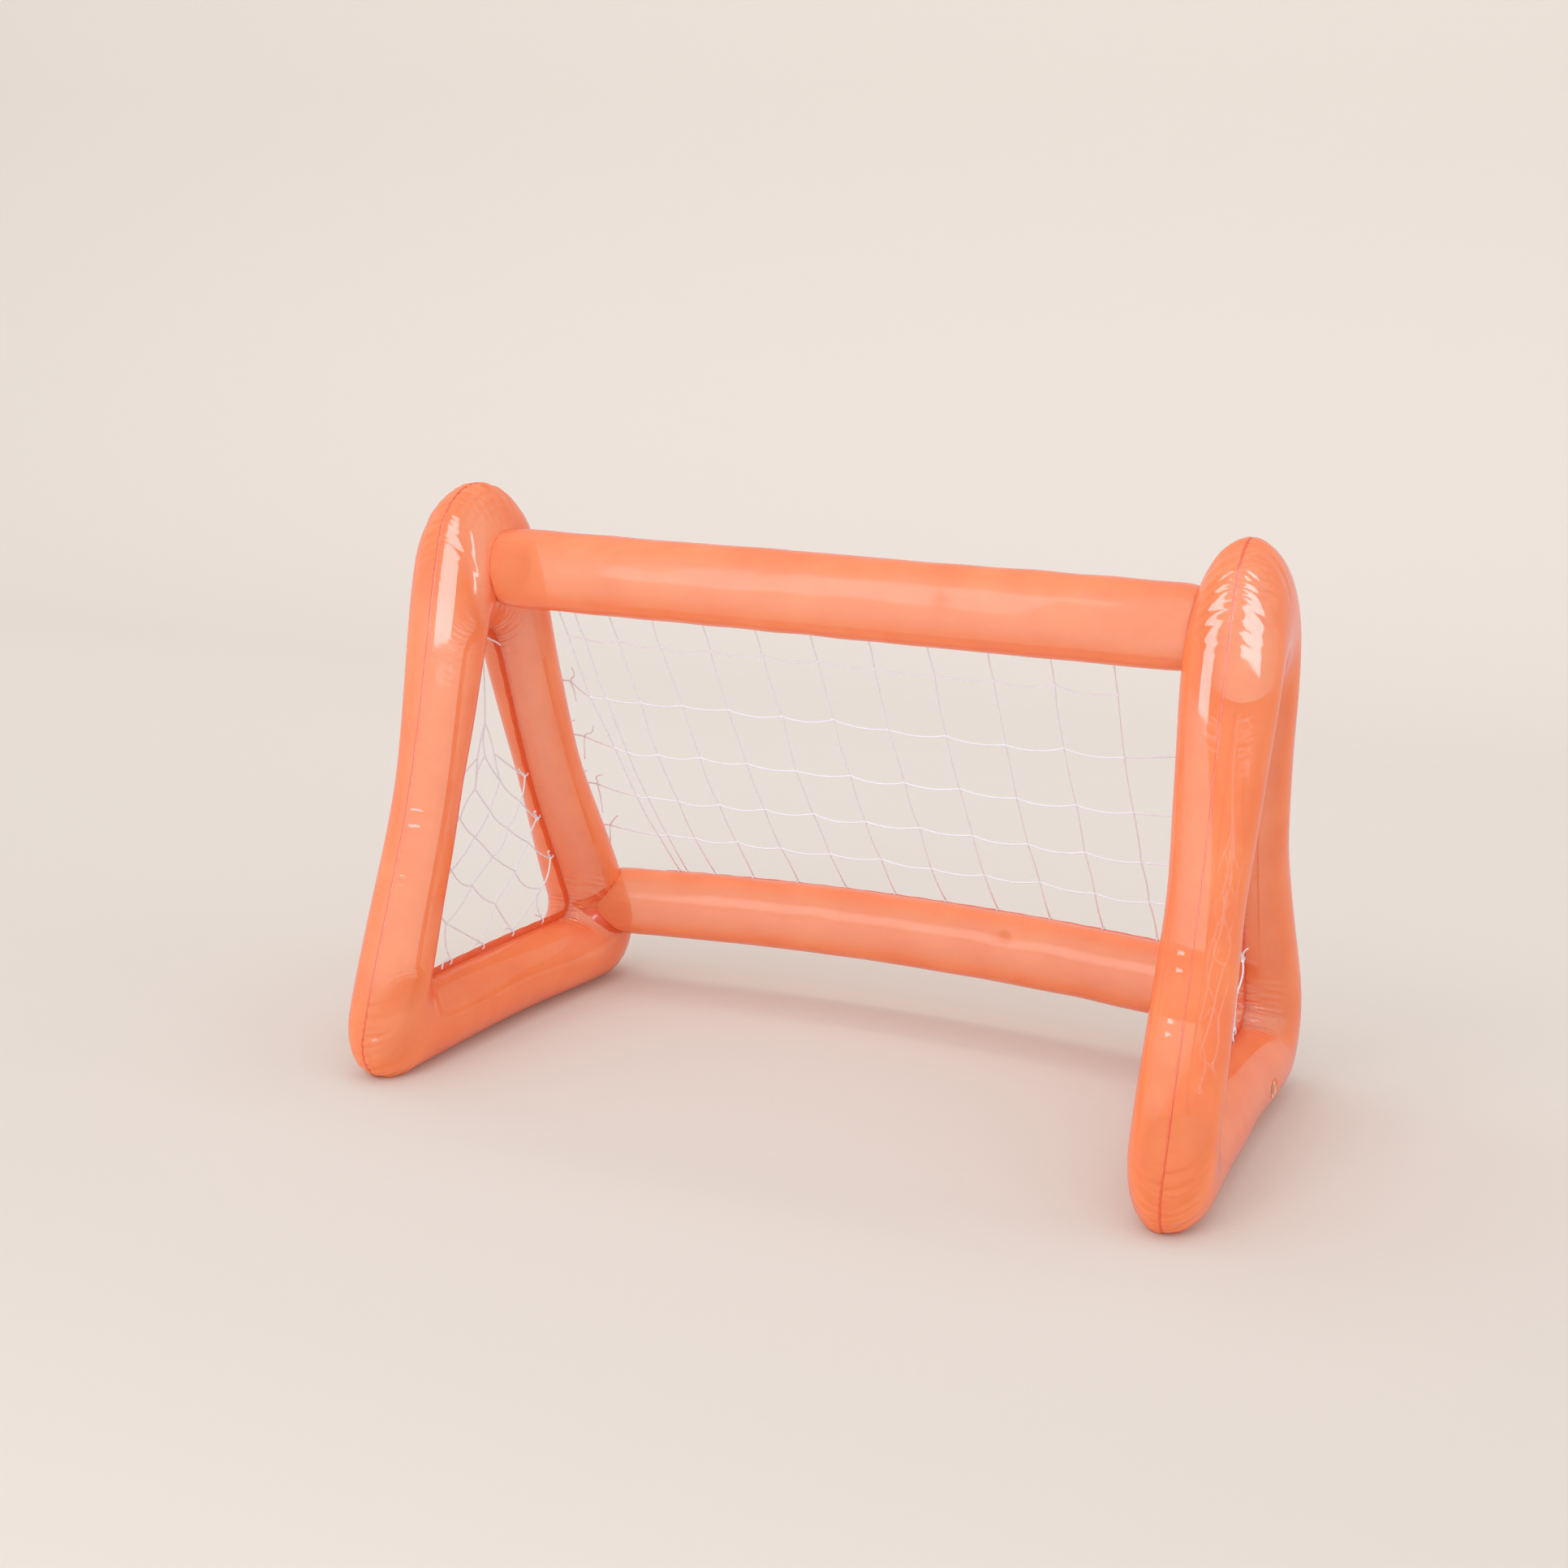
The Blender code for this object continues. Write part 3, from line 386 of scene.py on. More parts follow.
# %% [markdown]
# ## Film of the side frames
#
# The grid follows the sections round the frame. Both welds get puckers. The bottom is pressed flat where the
# frame stands. Where a crossbar's end disc is welded on, the film lies smooth, and outside that ring it draws
# into rays. Two pairs of short level creases cross each front leg's inner cheek, where the film lay folded
# before the goal was blown up. They could be bumps in the material, but the edge of a lamp's mirror image
# only jumps to a crease that the mesh really has.

# %% Creases and rays of the side frames
# Of each bar: its radius in the middle and at the ends, its place, how far it bows back and up, and half the
# thickness of the frames that it meets.
BARS = {
    "top": {"radius": 0.062, "end": 0.058, "y": -0.08447, "z": 0.779,
            "bow": 0.0, "rise": 0.0, "half": 0.068},
    "rear": {"radius": 0.059, "end": 0.055, "y": 0.26853, "z": 0.144,
             "bow": 0.063, "rise": 0.008, "half": 0.077},
}
CREASE_HEIGHTS = {"left": (0.412, 0.388, 0.313, 0.300), "right": (0.368, 0.346, 0.281, 0.264)}
CREASE_DEPTHS = {"left": 0.0005, "right": 0.0007}
CREASE_WIDTH, CREASE_REACH = 0.0032, 0.30
# How far round the tube from its outer weld the creases lie, in radians
CREASE_MIDDLE = {"left": 0.25, "right": 2 * pi - 0.45}
RAYS, RAY_WIDTH = 30, 0.06
# The film lies smooth to this far beyond a disc, then the rays fade in. Points this far in from a frame's
# middle belong to its inner face.
SMOOTH_ROOM, SMOOTH_FADE, INNER_FACE = 0.002, 0.010, 0.02


def leg_creases(side, height, turn, on_front_leg):
    """Short level creases on a front leg's inner cheek, in two pairs. Each catches the lamp as a small mark."""
    reach = np.exp(-((turn - CREASE_MIDDLE[side]) / CREASE_REACH) ** 4) * on_front_leg
    marks = sum(np.exp(-((height - z) / CREASE_WIDTH) ** 2) for z in CREASE_HEIGHTS[side])
    return CREASE_DEPTHS[side] * marks * reach


def disc_rays(rng, side, points):
    """How far to press in the film round the two welded discs, and where it has to lie smooth."""
    smoothed, rays = np.zeros(points.shape[:2]), np.zeros(points.shape[:2])
    inside = SIDES[side] * points[..., 0] < FRAME_SPACING / 2 - INNER_FACE
    for bar in BARS.values():
        dy, dz = points[..., 1] - bar["y"], points[..., 2] - bar["z"]
        reach, turn = np.hypot(dy, dz), np.arctan2(dz, dy)
        near = 1 - smooth((reach - bar["end"] - SMOOTH_ROOM) / SMOOTH_FADE)
        smoothed = np.maximum(smoothed, inside * near)
        beyond = np.maximum(reach - bar["end"], 0)
        for k in range(RAYS):
            at = 2 * pi * (k + rng.uniform(-0.35, 0.35)) / RAYS
            off = (turn - at + pi) % (2 * pi) - pi
            deep, long = rng.uniform(0.0003, 0.0012), rng.uniform(0.006, 0.018)
            rays += inside * deep * np.exp(-(off / RAY_WIDTH) ** 2) * np.exp(-(beyond / long) ** 2)
    return smoothed, rays


print("creases on each front leg at", CREASE_HEIGHTS)

# %% Build the side frames
PUCKER_DEPTH, OUTER_PUCKER, INNER_PUCKER = 0.0030, 0.042, 0.030
FRAME_RIPPLE, OUTER_RIDGE, INNER_RIDGE = 0.0008, 0.0007, 0.0003
FRONT_LEG_BEFORE = -0.36
GROUND_GAP, GROUND_WAVE, GROUND_TURNS = 0.0004, 0.0002, 40


def frame_points(side):
    """The film's grid, with each point's distance from the nearest weld and its place round the frame."""
    rng = np.random.default_rng(11 + SIDES[side])
    outer, inner, half, _, tight = frame_sections(FINE_STEP, WIDE_STEP)
    closed_step = np.hypot(*(np.roll(outer, -1, 0) - outer).T)
    length = closed_step.sum()
    place = np.concatenate([[0], np.cumsum(closed_step)[:-1]])
    angles = round_angles(TUBE_RADIUS)
    u = np.repeat(place[:, None], len(angles), 1)
    v = np.repeat(angles[None], len(place), 0)
    from_outer = np.minimum(v, 2 * pi - v) * TUBE_RADIUS
    from_inner = np.abs(v - pi) * TUBE_RADIUS
    lift = ripple(rng, u, v, length, FRAME_RIPPLE)
    for sheet in (-1, 1):
        mine = on_sheet(v, sheet)
        lift += mine * pucker_field(rng, u, from_outer, length, tight, OUTER_PUCKER, PUCKER_DEPTH)
        lift += mine * pucker_field(rng, u, from_inner, length, tight, INNER_PUCKER, PUCKER_DEPTH)
    middle, arm = (outer + inner) / 2, (outer - inner) / 2
    arm_length = np.hypot(*arm.T)
    across = half[:, None] * np.sin(v)
    flat = middle[:, None] + arm[:, None] * np.cos(v)[..., None]
    plain = to_goal(side, np.stack([across, flat[..., 0], flat[..., 1]], -1))
    smoothed, rays = disc_rays(rng, side, plain)
    lift = lift * (1 - smoothed) - rays
    lift += weld_ridge(from_outer, OUTER_RIDGE) + weld_ridge(from_inner, INNER_RIDGE)
    lift += leg_creases(side, flat[..., 1], v, outer[:, :1] < FRONT_LEG_BEFORE)
    # The surface's own normal in the section, to lift along
    nx = np.sin(v) / half[:, None]
    nr = np.cos(v) / arm_length[:, None]
    size = np.hypot(nx, nr)
    way = arm / arm_length[:, None]
    across = across + lift * nx / size
    flat = flat + (lift * nr / size)[..., None] * way[:, None]
    points = np.stack([across, flat[..., 0], flat[..., 1]], -1)
    # The bottom tube rests on the ground and is pressed flat there
    points[..., 2] = np.maximum(points[..., 2], GROUND_GAP + GROUND_WAVE * np.sin(GROUND_TURNS * u))
    return to_goal(side, points), np.minimum(from_outer, from_inner), u


frames_film = {}
for side in SIDES:
    points, weld, along = frame_points(side)
    frames_film[side] = film_mesh(side + "_frame_film", points, weld, along)
    print(side, "frame film:", len(frames_film[side].data.polygons), "faces")

# %% [markdown]
# ## Film of the crossbars
#
# A crossbar is a tube whose ends are welded to the frames through a film disc. Near each end it draws in
# over a round shoulder and gathers into lengthwise puckers, which fade again just before the weld. Its ends
# follow the frames' round faces, which a ray cast along the bar finds point by point.

# %% Where the crossbars run
SHOULDER = 0.030
DISC_ROOM = 0.0011
BAR_SEAM_TURN = {"top": radians(-55), "rear": radians(42)}
END_RINGS, MIDDLE_RINGS = 16, 250


def half_span(y):
    return FRAME_SPACING / 2 + (REAR_Y - y) * sin(TOE_OUT)


def bar_centre(bar, x):
    share = 1 - (x / half_span(bar["y"])) ** 2
    return np.stack([x, bar["y"] + bar["bow"] * share, bar["z"] + bar["rise"] * share], -1)


def face_finder(side):
    data = nodes[side + "_side_frame"].data
    return bvhtree.BVHTree.FromPolygons([v.co for v in data.vertices], [p.vertices for p in data.polygons])


finders = {side: face_finder(side) for side in SIDES}


def face_x(side, start):
    """Where a ray from a point in the goal's middle meets a frame's inner face."""
    hit = finders[side].ray_cast(start, Vector((SIDES[side], 0, 0)))[0]
    return hit.x if hit else SIDES[side] * half_span(start.y)


for name, bar in BARS.items():
    print(name, "bar's right end at x", round(face_x("right", Vector((0.0, bar["y"], bar["z"]))), 4))

# %% Build the crossbars
BAR_RIPPLE, BAR_RIDGE, BAR_PUCKER, BAR_PUCKER_DEPTH = 0.0007, 0.0006, 0.020, 0.0016
SLACK_FOLDS, FOLD_WIDTH = 14, 0.004
GATHERS, GATHER_WIDTH, GATHER_END = 38, 0.045, 0.007
TIGHT_REACH, LEAST_TIGHT = 0.10, 0.12


def bar_points(name):
    """The film's grid, with each point's distance from the weld and its place along the bar."""
    bar = BARS[name]
    rng = np.random.default_rng(31 + len(name))
    span = half_span(bar["y"])
    face = span - bar["half"]
    angles = round_angles(bar["radius"])
    near = face - SHOULDER * (1 - np.cos(np.linspace(0, pi / 2, END_RINGS)))
    middle = np.linspace(-near[-1], near[-1], MIDDLE_RINGS)
    stations = np.concatenate([-near[:-1], middle, near[:-1][::-1]])
    from_end = np.maximum(face - np.abs(stations), 0)
    share = np.minimum(from_end / SHOULDER, 1)
    radius = bar["end"] + (bar["radius"] - bar["end"]) * np.sqrt(1 - (1 - share) ** 2)
    u = np.repeat(stations[:, None], len(angles), 1)
    v = np.repeat(angles[None], len(stations), 0)
    from_weld = np.minimum(v, 2 * pi - v) * bar["radius"]
    lift = ripple(rng, u + span, v, 2 * span, BAR_RIPPLE)
    for _ in range(SLACK_FOLDS):
        # Slack folds run slantwise in the left half, where the bar hangs from the frame
        at_x, at_v = rng.uniform(-span + 0.10, -0.05), rng.uniform(0, 2 * pi)
        slant, long, deep = rng.uniform(0.3, 1.0), rng.uniform(0.03, 0.07), rng.uniform(0.0003, 0.0009)
        du, dv = u - at_x, ((v - at_v + pi) % (2 * pi) - pi) * bar["radius"]
        lift -= deep * np.exp(-((dv + slant * du) / FOLD_WIDTH) ** 2 - (du / long) ** 2)
    gathers = np.zeros_like(v)
    for k in range(GATHERS):
        at = 2 * pi * (k + rng.uniform(-0.35, 0.35)) / GATHERS
        deep, long = rng.uniform(0.0005, 0.0024), rng.uniform(0.010, 0.048)
        offset = (v - at + pi) % (2 * pi) - pi
        gathers -= deep * np.exp(-(offset / GATHER_WIDTH) ** 2) * np.exp(-(from_end[:, None] / long) ** 2)
    gathers *= 0.1 + 0.9 * smooth(from_end / GATHER_END)[:, None]
    tight = np.clip(1 - from_end / TIGHT_REACH, LEAST_TIGHT, 1)
    for sheet in (-1, 1):
        puckers = pucker_field(rng, u + span, from_weld, 2 * span, tight, BAR_PUCKER, BAR_PUCKER_DEPTH)
        lift += on_sheet(v, sheet) * puckers
    lift += gathers + weld_ridge(from_weld, BAR_RIDGE)
    reach = radius[:, None] + lift
    centre = bar_centre(bar, stations)
    turned = v + BAR_SEAM_TURN[name]
    y, z = centre[:, 1:2] + reach * np.cos(turned), centre[:, 2:] + reach * np.sin(turned)
    return np.stack([u, y, z], -1), from_weld, u


def fit_bar_ends(points):
    """Moves the end rings out along X until they are a disc's room from the frames' faces."""
    for side, row, step in (("left", 0, 1), ("right", len(points) - 1, -1)):
        for j in range(points.shape[1]):
            start = Vector((0.0, points[row, j, 1], points[row, j, 2]))
            target = face_x(side, start) - SIDES[side] * DISC_ROOM
            ring = points[row, j, 0]
            for k in range(END_RINGS):
                points[row + step * k, j, 0] += (target - ring) * (1 - k / END_RINGS)
    return points


bars_film = {}
for name in BARS:
    points, weld, along = bar_points(name)
    fitted = fit_bar_ends(points)
    bars_film[name] = film_mesh(name + "_crossbar_film", fitted, weld, along, closed=False)
    print(name, "bar film:", len(bars_film[name].data.polygons), "faces")

# %% [markdown]
# ## End discs
#
# Between a bar's end and the frame's face lies a disc of the same film, welded to both. It follows the
# frame's round face, so each of its points comes from a ray cast along the bar. In the finished goal it
# shows as an oval of deeper colour, because three layers of film lie on each other there.

# %% Build the end discs
DISC_RINGS, DISC_SIDES = 7, 48
DISC_THICKNESS, DISC_GAP, DISC_INSET = 0.0005, 0.0003, 0.0004


def disc_mesh(name, side):
    bar, sign = BARS[name], SIDES[side]
    verts, faces = [], []
    for layer in (0, 1):
        for ring in range(DISC_RINGS + 1):
            radius = (bar["end"] - DISC_INSET) * ring / DISC_RINGS
            for k in range(DISC_SIDES if ring else 1):
                turn = 2 * pi * k / DISC_SIDES
                start = Vector((0.0, bar["y"] + radius * cos(turn), bar["z"] + radius * sin(turn)))
                x = face_x(side, start) - sign * (DISC_GAP + layer * DISC_THICKNESS)
                verts.append((x, start.y, start.z))
    size = len(verts) // 2

    def at(layer, ring, k):
        return layer * size + (1 + (ring - 1) * DISC_SIDES + k % DISC_SIDES if ring else 0)

    for k in range(DISC_SIDES):
        for layer in (0, 1):
            faces.append((at(layer, 0, 0), at(layer, 1, k), at(layer, 1, k + 1)))
            for ring in range(1, DISC_RINGS):
                near = (at(layer, ring, k), at(layer, ring + 1, k))
                far = (at(layer, ring + 1, k + 1), at(layer, ring, k + 1))
                faces.append(near + far)
        faces.append([at(layer, DISC_RINGS, k + step) for layer, step in ((0, 0), (0, 1), (1, 1), (1, 0))])
    return solid_mesh(f"{name}_crossbar_{side}_end_disc_film", verts, faces)


discs_film = {(name, side): disc_mesh(name, side) for name in BARS for side in SIDES}
print("end discs:", len(discs_film))

# %% [markdown]
# ## Valve seats
#
# Each chamber has a push-in valve. Its flange is welded into a round hole in the film, so the film has to
# lie flat under the flange and turn inwards along the sleeve. The mesh gets finer around the valve, its
# points are laid on the seat, the faces within the hole go and the hole's edge is drawn down into a neck.

# %% Cut the valve seats
SEAT_RADIUS, SEAT_FADE, SEAT_DEPTH = 0.0150, 0.0080, 0.0023
NECK_RADIUS, NECK_FOOT = 0.0082, 0.0045
VALVES = {
    "left_frame": {"at": (-0.67722, 0.10129, 0.06349), "out": (-0.9993, 0.0384, 0.0)},
    "right_frame": {"at": (0.67722, 0.10129, 0.06349), "out": (0.9993, 0.0384, 0.0)},
    "top_bar": {"at": (0.15, -0.02247, 0.779), "out": (0.0, 1.0, 0.0)},
    "rear_bar": {"at": (0.15309, 0.38651, 0.1515), "out": (0.0524, 0.9986, 0.0)},
}
# Points that lie deeper than this belong to the tube's other side
SIDE_DEPTH = 0.03
# Within these distances of a valve's axis the film's edges are cut once, then twice more
REFINEMENTS = ((0.034, 1), (0.026, 2))
HOLE_ROOM, RIM_REACH = 0.0006, 0.012


def put_in_order(mesh):
    """Sorts points and faces, since the subdivision numbers them differently from run to run."""
    mesh.verts.sort(key=lambda v: v.co.x + pi * v.co.y + pi * pi * v.co.z)
    mesh.verts.index_update()
    count = len(mesh.verts)

    def rank(face):
        first, second, third = sorted(v.index for v in face.verts)[:3]
        return float((first * count + second) * count + third)

    mesh.faces.sort(key=rank)


def cut_seat(item, valve):
    """Lays the film on a valve's seat, opens the hole and draws its edge down into a neck."""
    at, out = Vector(valve["at"]), Vector(valve["out"]).normalized()
    mesh = bmesh.new()
    mesh.from_mesh(item.data)

    def height(point):
        return (point - at).dot(out)

    def beside(point):
        return ((point - at) - out * height(point)).length

    def at_hand(point, reach):
        return abs(height(point)) < SIDE_DEPTH and beside(point) < reach

    for reach, cuts in REFINEMENTS:
        near = [e for e in mesh.edges if all(at_hand(v.co, reach) for v in e.verts)]
        bmesh.ops.subdivide_edges(mesh, edges=near, cuts=cuts, use_grid_fill=True, smooth=0)
    for vert in mesh.verts:
        if at_hand(vert.co, SEAT_RADIUS + SEAT_FADE):
            share = 1 - float(smooth((beside(vert.co) - SEAT_RADIUS) / SEAT_FADE))
            vert.co -= out * (height(vert.co) + SEAT_DEPTH) * share
    hole = [f for f in mesh.faces if at_hand(f.calc_center_median(), NECK_RADIUS + HOLE_ROOM)]
    bmesh.ops.delete(mesh, geom=hole, context="FACES")
    rim = [e for e in mesh.edges if e.is_boundary and all(beside(v.co) < RIM_REACH for v in e.verts)]
    for vert in {v for e in rim for v in e.verts}:
        spoke = (vert.co - at) - out * height(vert.co)
        vert.co = at - out * SEAT_DEPTH + spoke.normalized() * NECK_RADIUS
    grown = bmesh.ops.extrude_edge_only(mesh, edges=rim)["geom"]
    for vert in (g for g in grown if isinstance(g, bmesh.types.BMVert)):
        vert.co -= out * (NECK_FOOT - SEAT_DEPTH)
    put_in_order(mesh)
    mesh.normal_update()
    mesh.to_mesh(item.data)
    mesh.free()


seated = {"left_frame": frames_film["left"], "right_frame": frames_film["right"],
          "top_bar": bars_film["top"], "rear_bar": bars_film["rear"]}
for name, valve in VALVES.items():
    cut_seat(seated[name], valve)
    print(name, "film with its seat:", len(seated[name].data.polygons), "faces")

# %% [markdown]
# ## Punched flanges
#
# The nets are tied to strips of film that stand on the welds: one under the top bar, one on the rear bar,
# one round each opening and one down each rear leg. A strip is a flat sheet with round holes, so it is laid
# out flat first. Around each hole a square patch of the grid gives way to sixteen faces that run from the
# patch's edge to the hole. Then every point goes to its place along the weld, with a slight wave in the
# free edge, because nothing holds that edge straight.

# %% Sizes of the flanges and of the nets' pattern
SEAM_GAP = 0.0003
FLANGE_WIDTH, FLANGE_THICKNESS, HOLE_RADIUS = 0.012, 0.0008, 0.0027
HOLE_LINE = SEAM_GAP + FLANGE_WIDTH / 2
FLANGE_MARGIN = 0.018
# The first columns stand closer by this share, which dies out over this many columns
COLUMNS, COLUMN_SPACING, GATHER, GATHER_FADE = 12, 0.0955, 0.68, 1.6
FIRST_COLUMN, BOTTOM_DRIFT = 0.127, 0.035
ROWS, FIRST_ROW, ROW_STEP, NET_SAG = 5, 0.0812, 0.1830, 0.030
# Shares of the way down the opening's legs and along its bottom
TIED_ROWS, LAST_ROW, BOTTOM_TIES = (0.47, 0.64, 0.81), 0.91, (0.16, 0.39, 0.61, 0.84)
TOP_KNOT, NARROW_ROW, NARROW_SPREAD = 0.25, 0.36, 0.40
BACK_STRIP = (1 / 6, 4 / 6)
WELD_STEP = 0.002
print("holes of", HOLE_RADIUS * 2000, "mm in strips", FLANGE_WIDTH * 1000, "mm wide")

# %% Places on the welds
def bar_weld(name, x):
    """Points on a bar's weld: their places, the way out of the bar and the direction across the flange."""
    bar, turn = BARS[name], BAR_SEAM_TURN[name]
    x = np.atleast_1d(x)
    out = np.repeat([[0.0, cos(turn), sin(turn)]], len(x), 0)
    across = np.repeat([[0.0, -sin(turn), cos(turn)]], len(x), 0)
    return bar_centre(bar, x) + out * bar["radius"], out, across


def frame_weld(side, seam, outward):
    """The same for points on a frame's welds, from (y, z) places in the frame's middle plane."""
    flat = np.concatenate([np.zeros((len(seam), 1)), seam], 1)
    out = np.concatenate([np.zeros((len(seam), 1)), outward], 1)
    base = to_goal(side, flat)
    across = to_goal(side, np.array([[1.0, 0, 0]])) - to_goal(side, np.zeros((1, 3)))
    return base, to_goal(side, out) - to_goal(side, np.zeros(3)), np.repeat(across, len(seam), 0)


def places_on(base, points):
    """How far along a line of points the nearest ones to some given points are."""
    place = np.concatenate([[0], np.cumsum(np.linalg.norm(np.diff(base, axis=0), axis=1))])
    return np.array([place[np.argmin(np.linalg.norm(base - p, axis=1))] for p in points])


def column_places():
    gaps = COLUMN_SPACING * (1 - GATHER * np.exp(-np.arange(COLUMNS - 1) / GATHER_FADE))
    return -half_span(BARS["top"]["y"]) + FIRST_COLUMN + np.concatenate([[0], np.cumsum(gaps)])


def foot_places():
    return column_places() + BOTTOM_DRIFT * np.exp(-np.arange(COLUMNS) / GATHER_FADE)


def leg_named(name):
    return next(leg for leg in LEGS if leg["name"] == name)


def opening_weld(side, name, t):
    section = leg_section(leg_named(name), np.atleast_1d(t))
    return frame_weld(side, section[1], -section[3])


def back_weld(side, t):
    section = leg_section(leg_named("rear_leg"), np.atleast_1d(t))
    return frame_weld(side, section[0], section[3])


def hole_points(weld):
    return weld[0] + weld[1] * HOLE_LINE


def back_shares():
    """Shares up the rear leg at which the back net's lower rows are tied."""
    ends = leg_section(leg_named("rear_leg"), [0, 1])[0][:, 1]
    top, foot = hole_points(bar_weld("top", 0))[0, 2], hole_points(bar_weld("rear", 0))[0, 2]
    share = FIRST_ROW + ROW_STEP * np.arange(1, ROWS)
    height = top + (foot - top) * share - NET_SAG * 4 * share * (1 - share)
    return (height - ends[0]) / (ends[1] - ends[0])


print("columns along the top bar:", column_places().round(3))

# %% A punched strip
PATCH = np.array([-0.0039, -0.00195, 0.0, 0.00195, 0.0039])
ACROSS_LINES = np.concatenate([[0.0, 0.0011], FLANGE_WIDTH / 2 + PATCH, [0.0109, 0.0120]])
# The hole's patch takes this many cells each way, between these two of the lines across
CELLS, PATCH_FIRST, PATCH_LAST = 4, 2, 6
STRIP_STEP, HOLE_CLEARANCE, END_ROOM = 0.006, 0.0058, 0.002
EDGE_WAVE, EDGE_WAVE_PITCH = 0.0007, 0.045


def punched_grid(lines, holes, closed):
    """A flat strip as a grid whose squares round each hole give way to faces that run to the hole's edge."""
    rows, columns = len(lines), len(ACROSS_LINES)
    first_of = {int(np.argmin(np.abs(lines - (h + PATCH[0])))) for h in holes}
    flat = [(a, t) for a in lines for t in ACROSS_LINES]
    faces, patches = [], {i + k for i in first_of for k in range(CELLS)}
    for i in range(rows if closed else rows - 1):
        for j in range(columns - 1):
            if i in patches and PATCH_FIRST <= j < PATCH_LAST:
                continue
            k = (i + 1) % rows
            faces.append([i * columns + j, k * columns + j, k * columns + j + 1, i * columns + j + 1])
    for i in first_of:
        ring = [(i + k, PATCH_FIRST) for k in range(CELLS)]
        ring += [(i + CELLS, PATCH_FIRST + k) for k in range(CELLS)]
        ring += [(i + CELLS - k, PATCH_LAST) for k in range(CELLS)]
        ring += [(i, PATCH_LAST - k) for k in range(CELLS)]
        edge = [a * columns + b for a, b in ring]
        middle = np.array([(lines[i] + lines[i + CELLS]) / 2, FLANGE_WIDTH / 2])
        first, count = len(flat), len(edge)
        for spot in edge:
            spoke = np.array(flat[spot]) - middle
            flat.append(tuple(middle + spoke / np.hypot(*spoke) * HOLE_RADIUS))
        faces += [[edge[k], edge[(k + 1) % count], first + (k + 1) % count, first + k] for k in range(count)]
    return np.array(flat), faces


def flange_mesh(name, weld, holes, closed, rng):
    """A punched strip along a weld, given as dense points. Holes are places in metres along it."""
    steps = np.linalg.norm(np.diff(weld[0], axis=0, append=weld[0][:1]), axis=1)
    place = np.concatenate([[0], np.cumsum(steps)])
    length = place[-1] if closed else place[-2]
    at = place if closed else place[:-1]
    tables = [np.concatenate([t, t[:1]]) if closed else t for t in weld]
    holes = np.sort(holes)
    regular = np.arange(0, length - END_ROOM, STRIP_STEP)
    regular = regular[[all(abs(r - h) > HOLE_CLEARANCE for h in holes) for r in regular]]
    lines = np.sort(np.concatenate([regular, *(h + PATCH for h in holes)] + ([] if closed else [[length]])))
    flat, faces = punched_grid(lines, holes, closed)
    s, t = flat[:, 0], flat[:, 1]
    waves = max(round(length / EDGE_WAVE_PITCH), 3)
    phase = rng.uniform(0, 6)
    wave = EDGE_WAVE * (t / FLANGE_WIDTH) ** 2 * np.sin(2 * pi * waves * s / length + phase)
    start, away, through = (np.stack([np.interp(s, at, table[:, k]) for k in range(3)], 1) for table in tables)
    middle = start + away * (SEAM_GAP + t)[:, None] + through * wave[:, None]
    thick = through * FLANGE_THICKNESS / 2
    count = len(middle)
    edges = dict.fromkeys((a, b) for face in faces for a, b in zip(face, face[1:] + face[:1]))
    walls = [[b, a, a + count, b + count] for a, b in edges if (b, a) not in edges]
    faces = faces + [[v + count for v in face[::-1]] for face in faces] + walls
    return solid_mesh(name, np.concatenate([middle + thick, middle - thick]), faces)


print("lines across a strip:", ACROSS_LINES)

# %% Build the flanges
rng = np.random.default_rng(5)
flanges = {}
for name, marks in (("top", column_places()), ("rear", foot_places())):
    end = half_span(BARS[name]["y"]) - BARS[name]["half"] - SHOULDER - FLANGE_MARGIN
    weld = bar_weld(name, np.linspace(-end, end, 400))
    holes = places_on(weld[0], bar_weld(name, marks)[0])
    flanges[name + "_crossbar_net_flange"] = flange_mesh(name + "_crossbar_flange", weld, holes, False, rng)
for side in SIDES:
    _, inner, _, normal, _ = frame_sections(WELD_STEP, WELD_STEP)
    weld = frame_weld(side, inner, -normal)
    ties = [opening_weld(side, leg, t if leg == "front_leg" else 1 - t)[0][0]
            for t in TIED_ROWS for leg in ("front_leg", "rear_leg")]
    ties += [opening_weld(side, "bottom", t)[0][0] for t in BOTTOM_TIES]
    ties.append(weld[0][np.argmax(weld[0][:, 2])])
    holes = places_on(weld[0], ties)
    flanges[side + "_opening_net_flange"] = flange_mesh(side + "_opening_flange", weld, holes, True, rng)
    weld = back_weld(side, np.linspace(*BACK_STRIP, 200))
    holes = places_on(weld[0], back_weld(side, back_shares())[0])
    flanges[side + "_back_seam_net_flange"] = flange_mesh(side + "_back_flange", weld, holes, False, rng)
print("flanges:", {name: len(item.data.polygons) for name, item in flanges.items()})

# %% [markdown]
# ## Nets
#
# The nets are thin twisted twine. A net is a set of strings between knots. The back net's columns are
# gathered at the left, its rows droop between the columns, and its lower rows run on to the frames' back
# seams. The side nets hang in tall diamonds from the top of each opening. Every place where a string meets a
# flange is a small loop through the hole and round the free edge, closed by a knot, and most keep a cut end
# some four centimetres long. The points are worked out here. A Geometry Nodes tree then gives them their
# round section and puts a knot on every crossing, so one change to the twine shows everywhere.

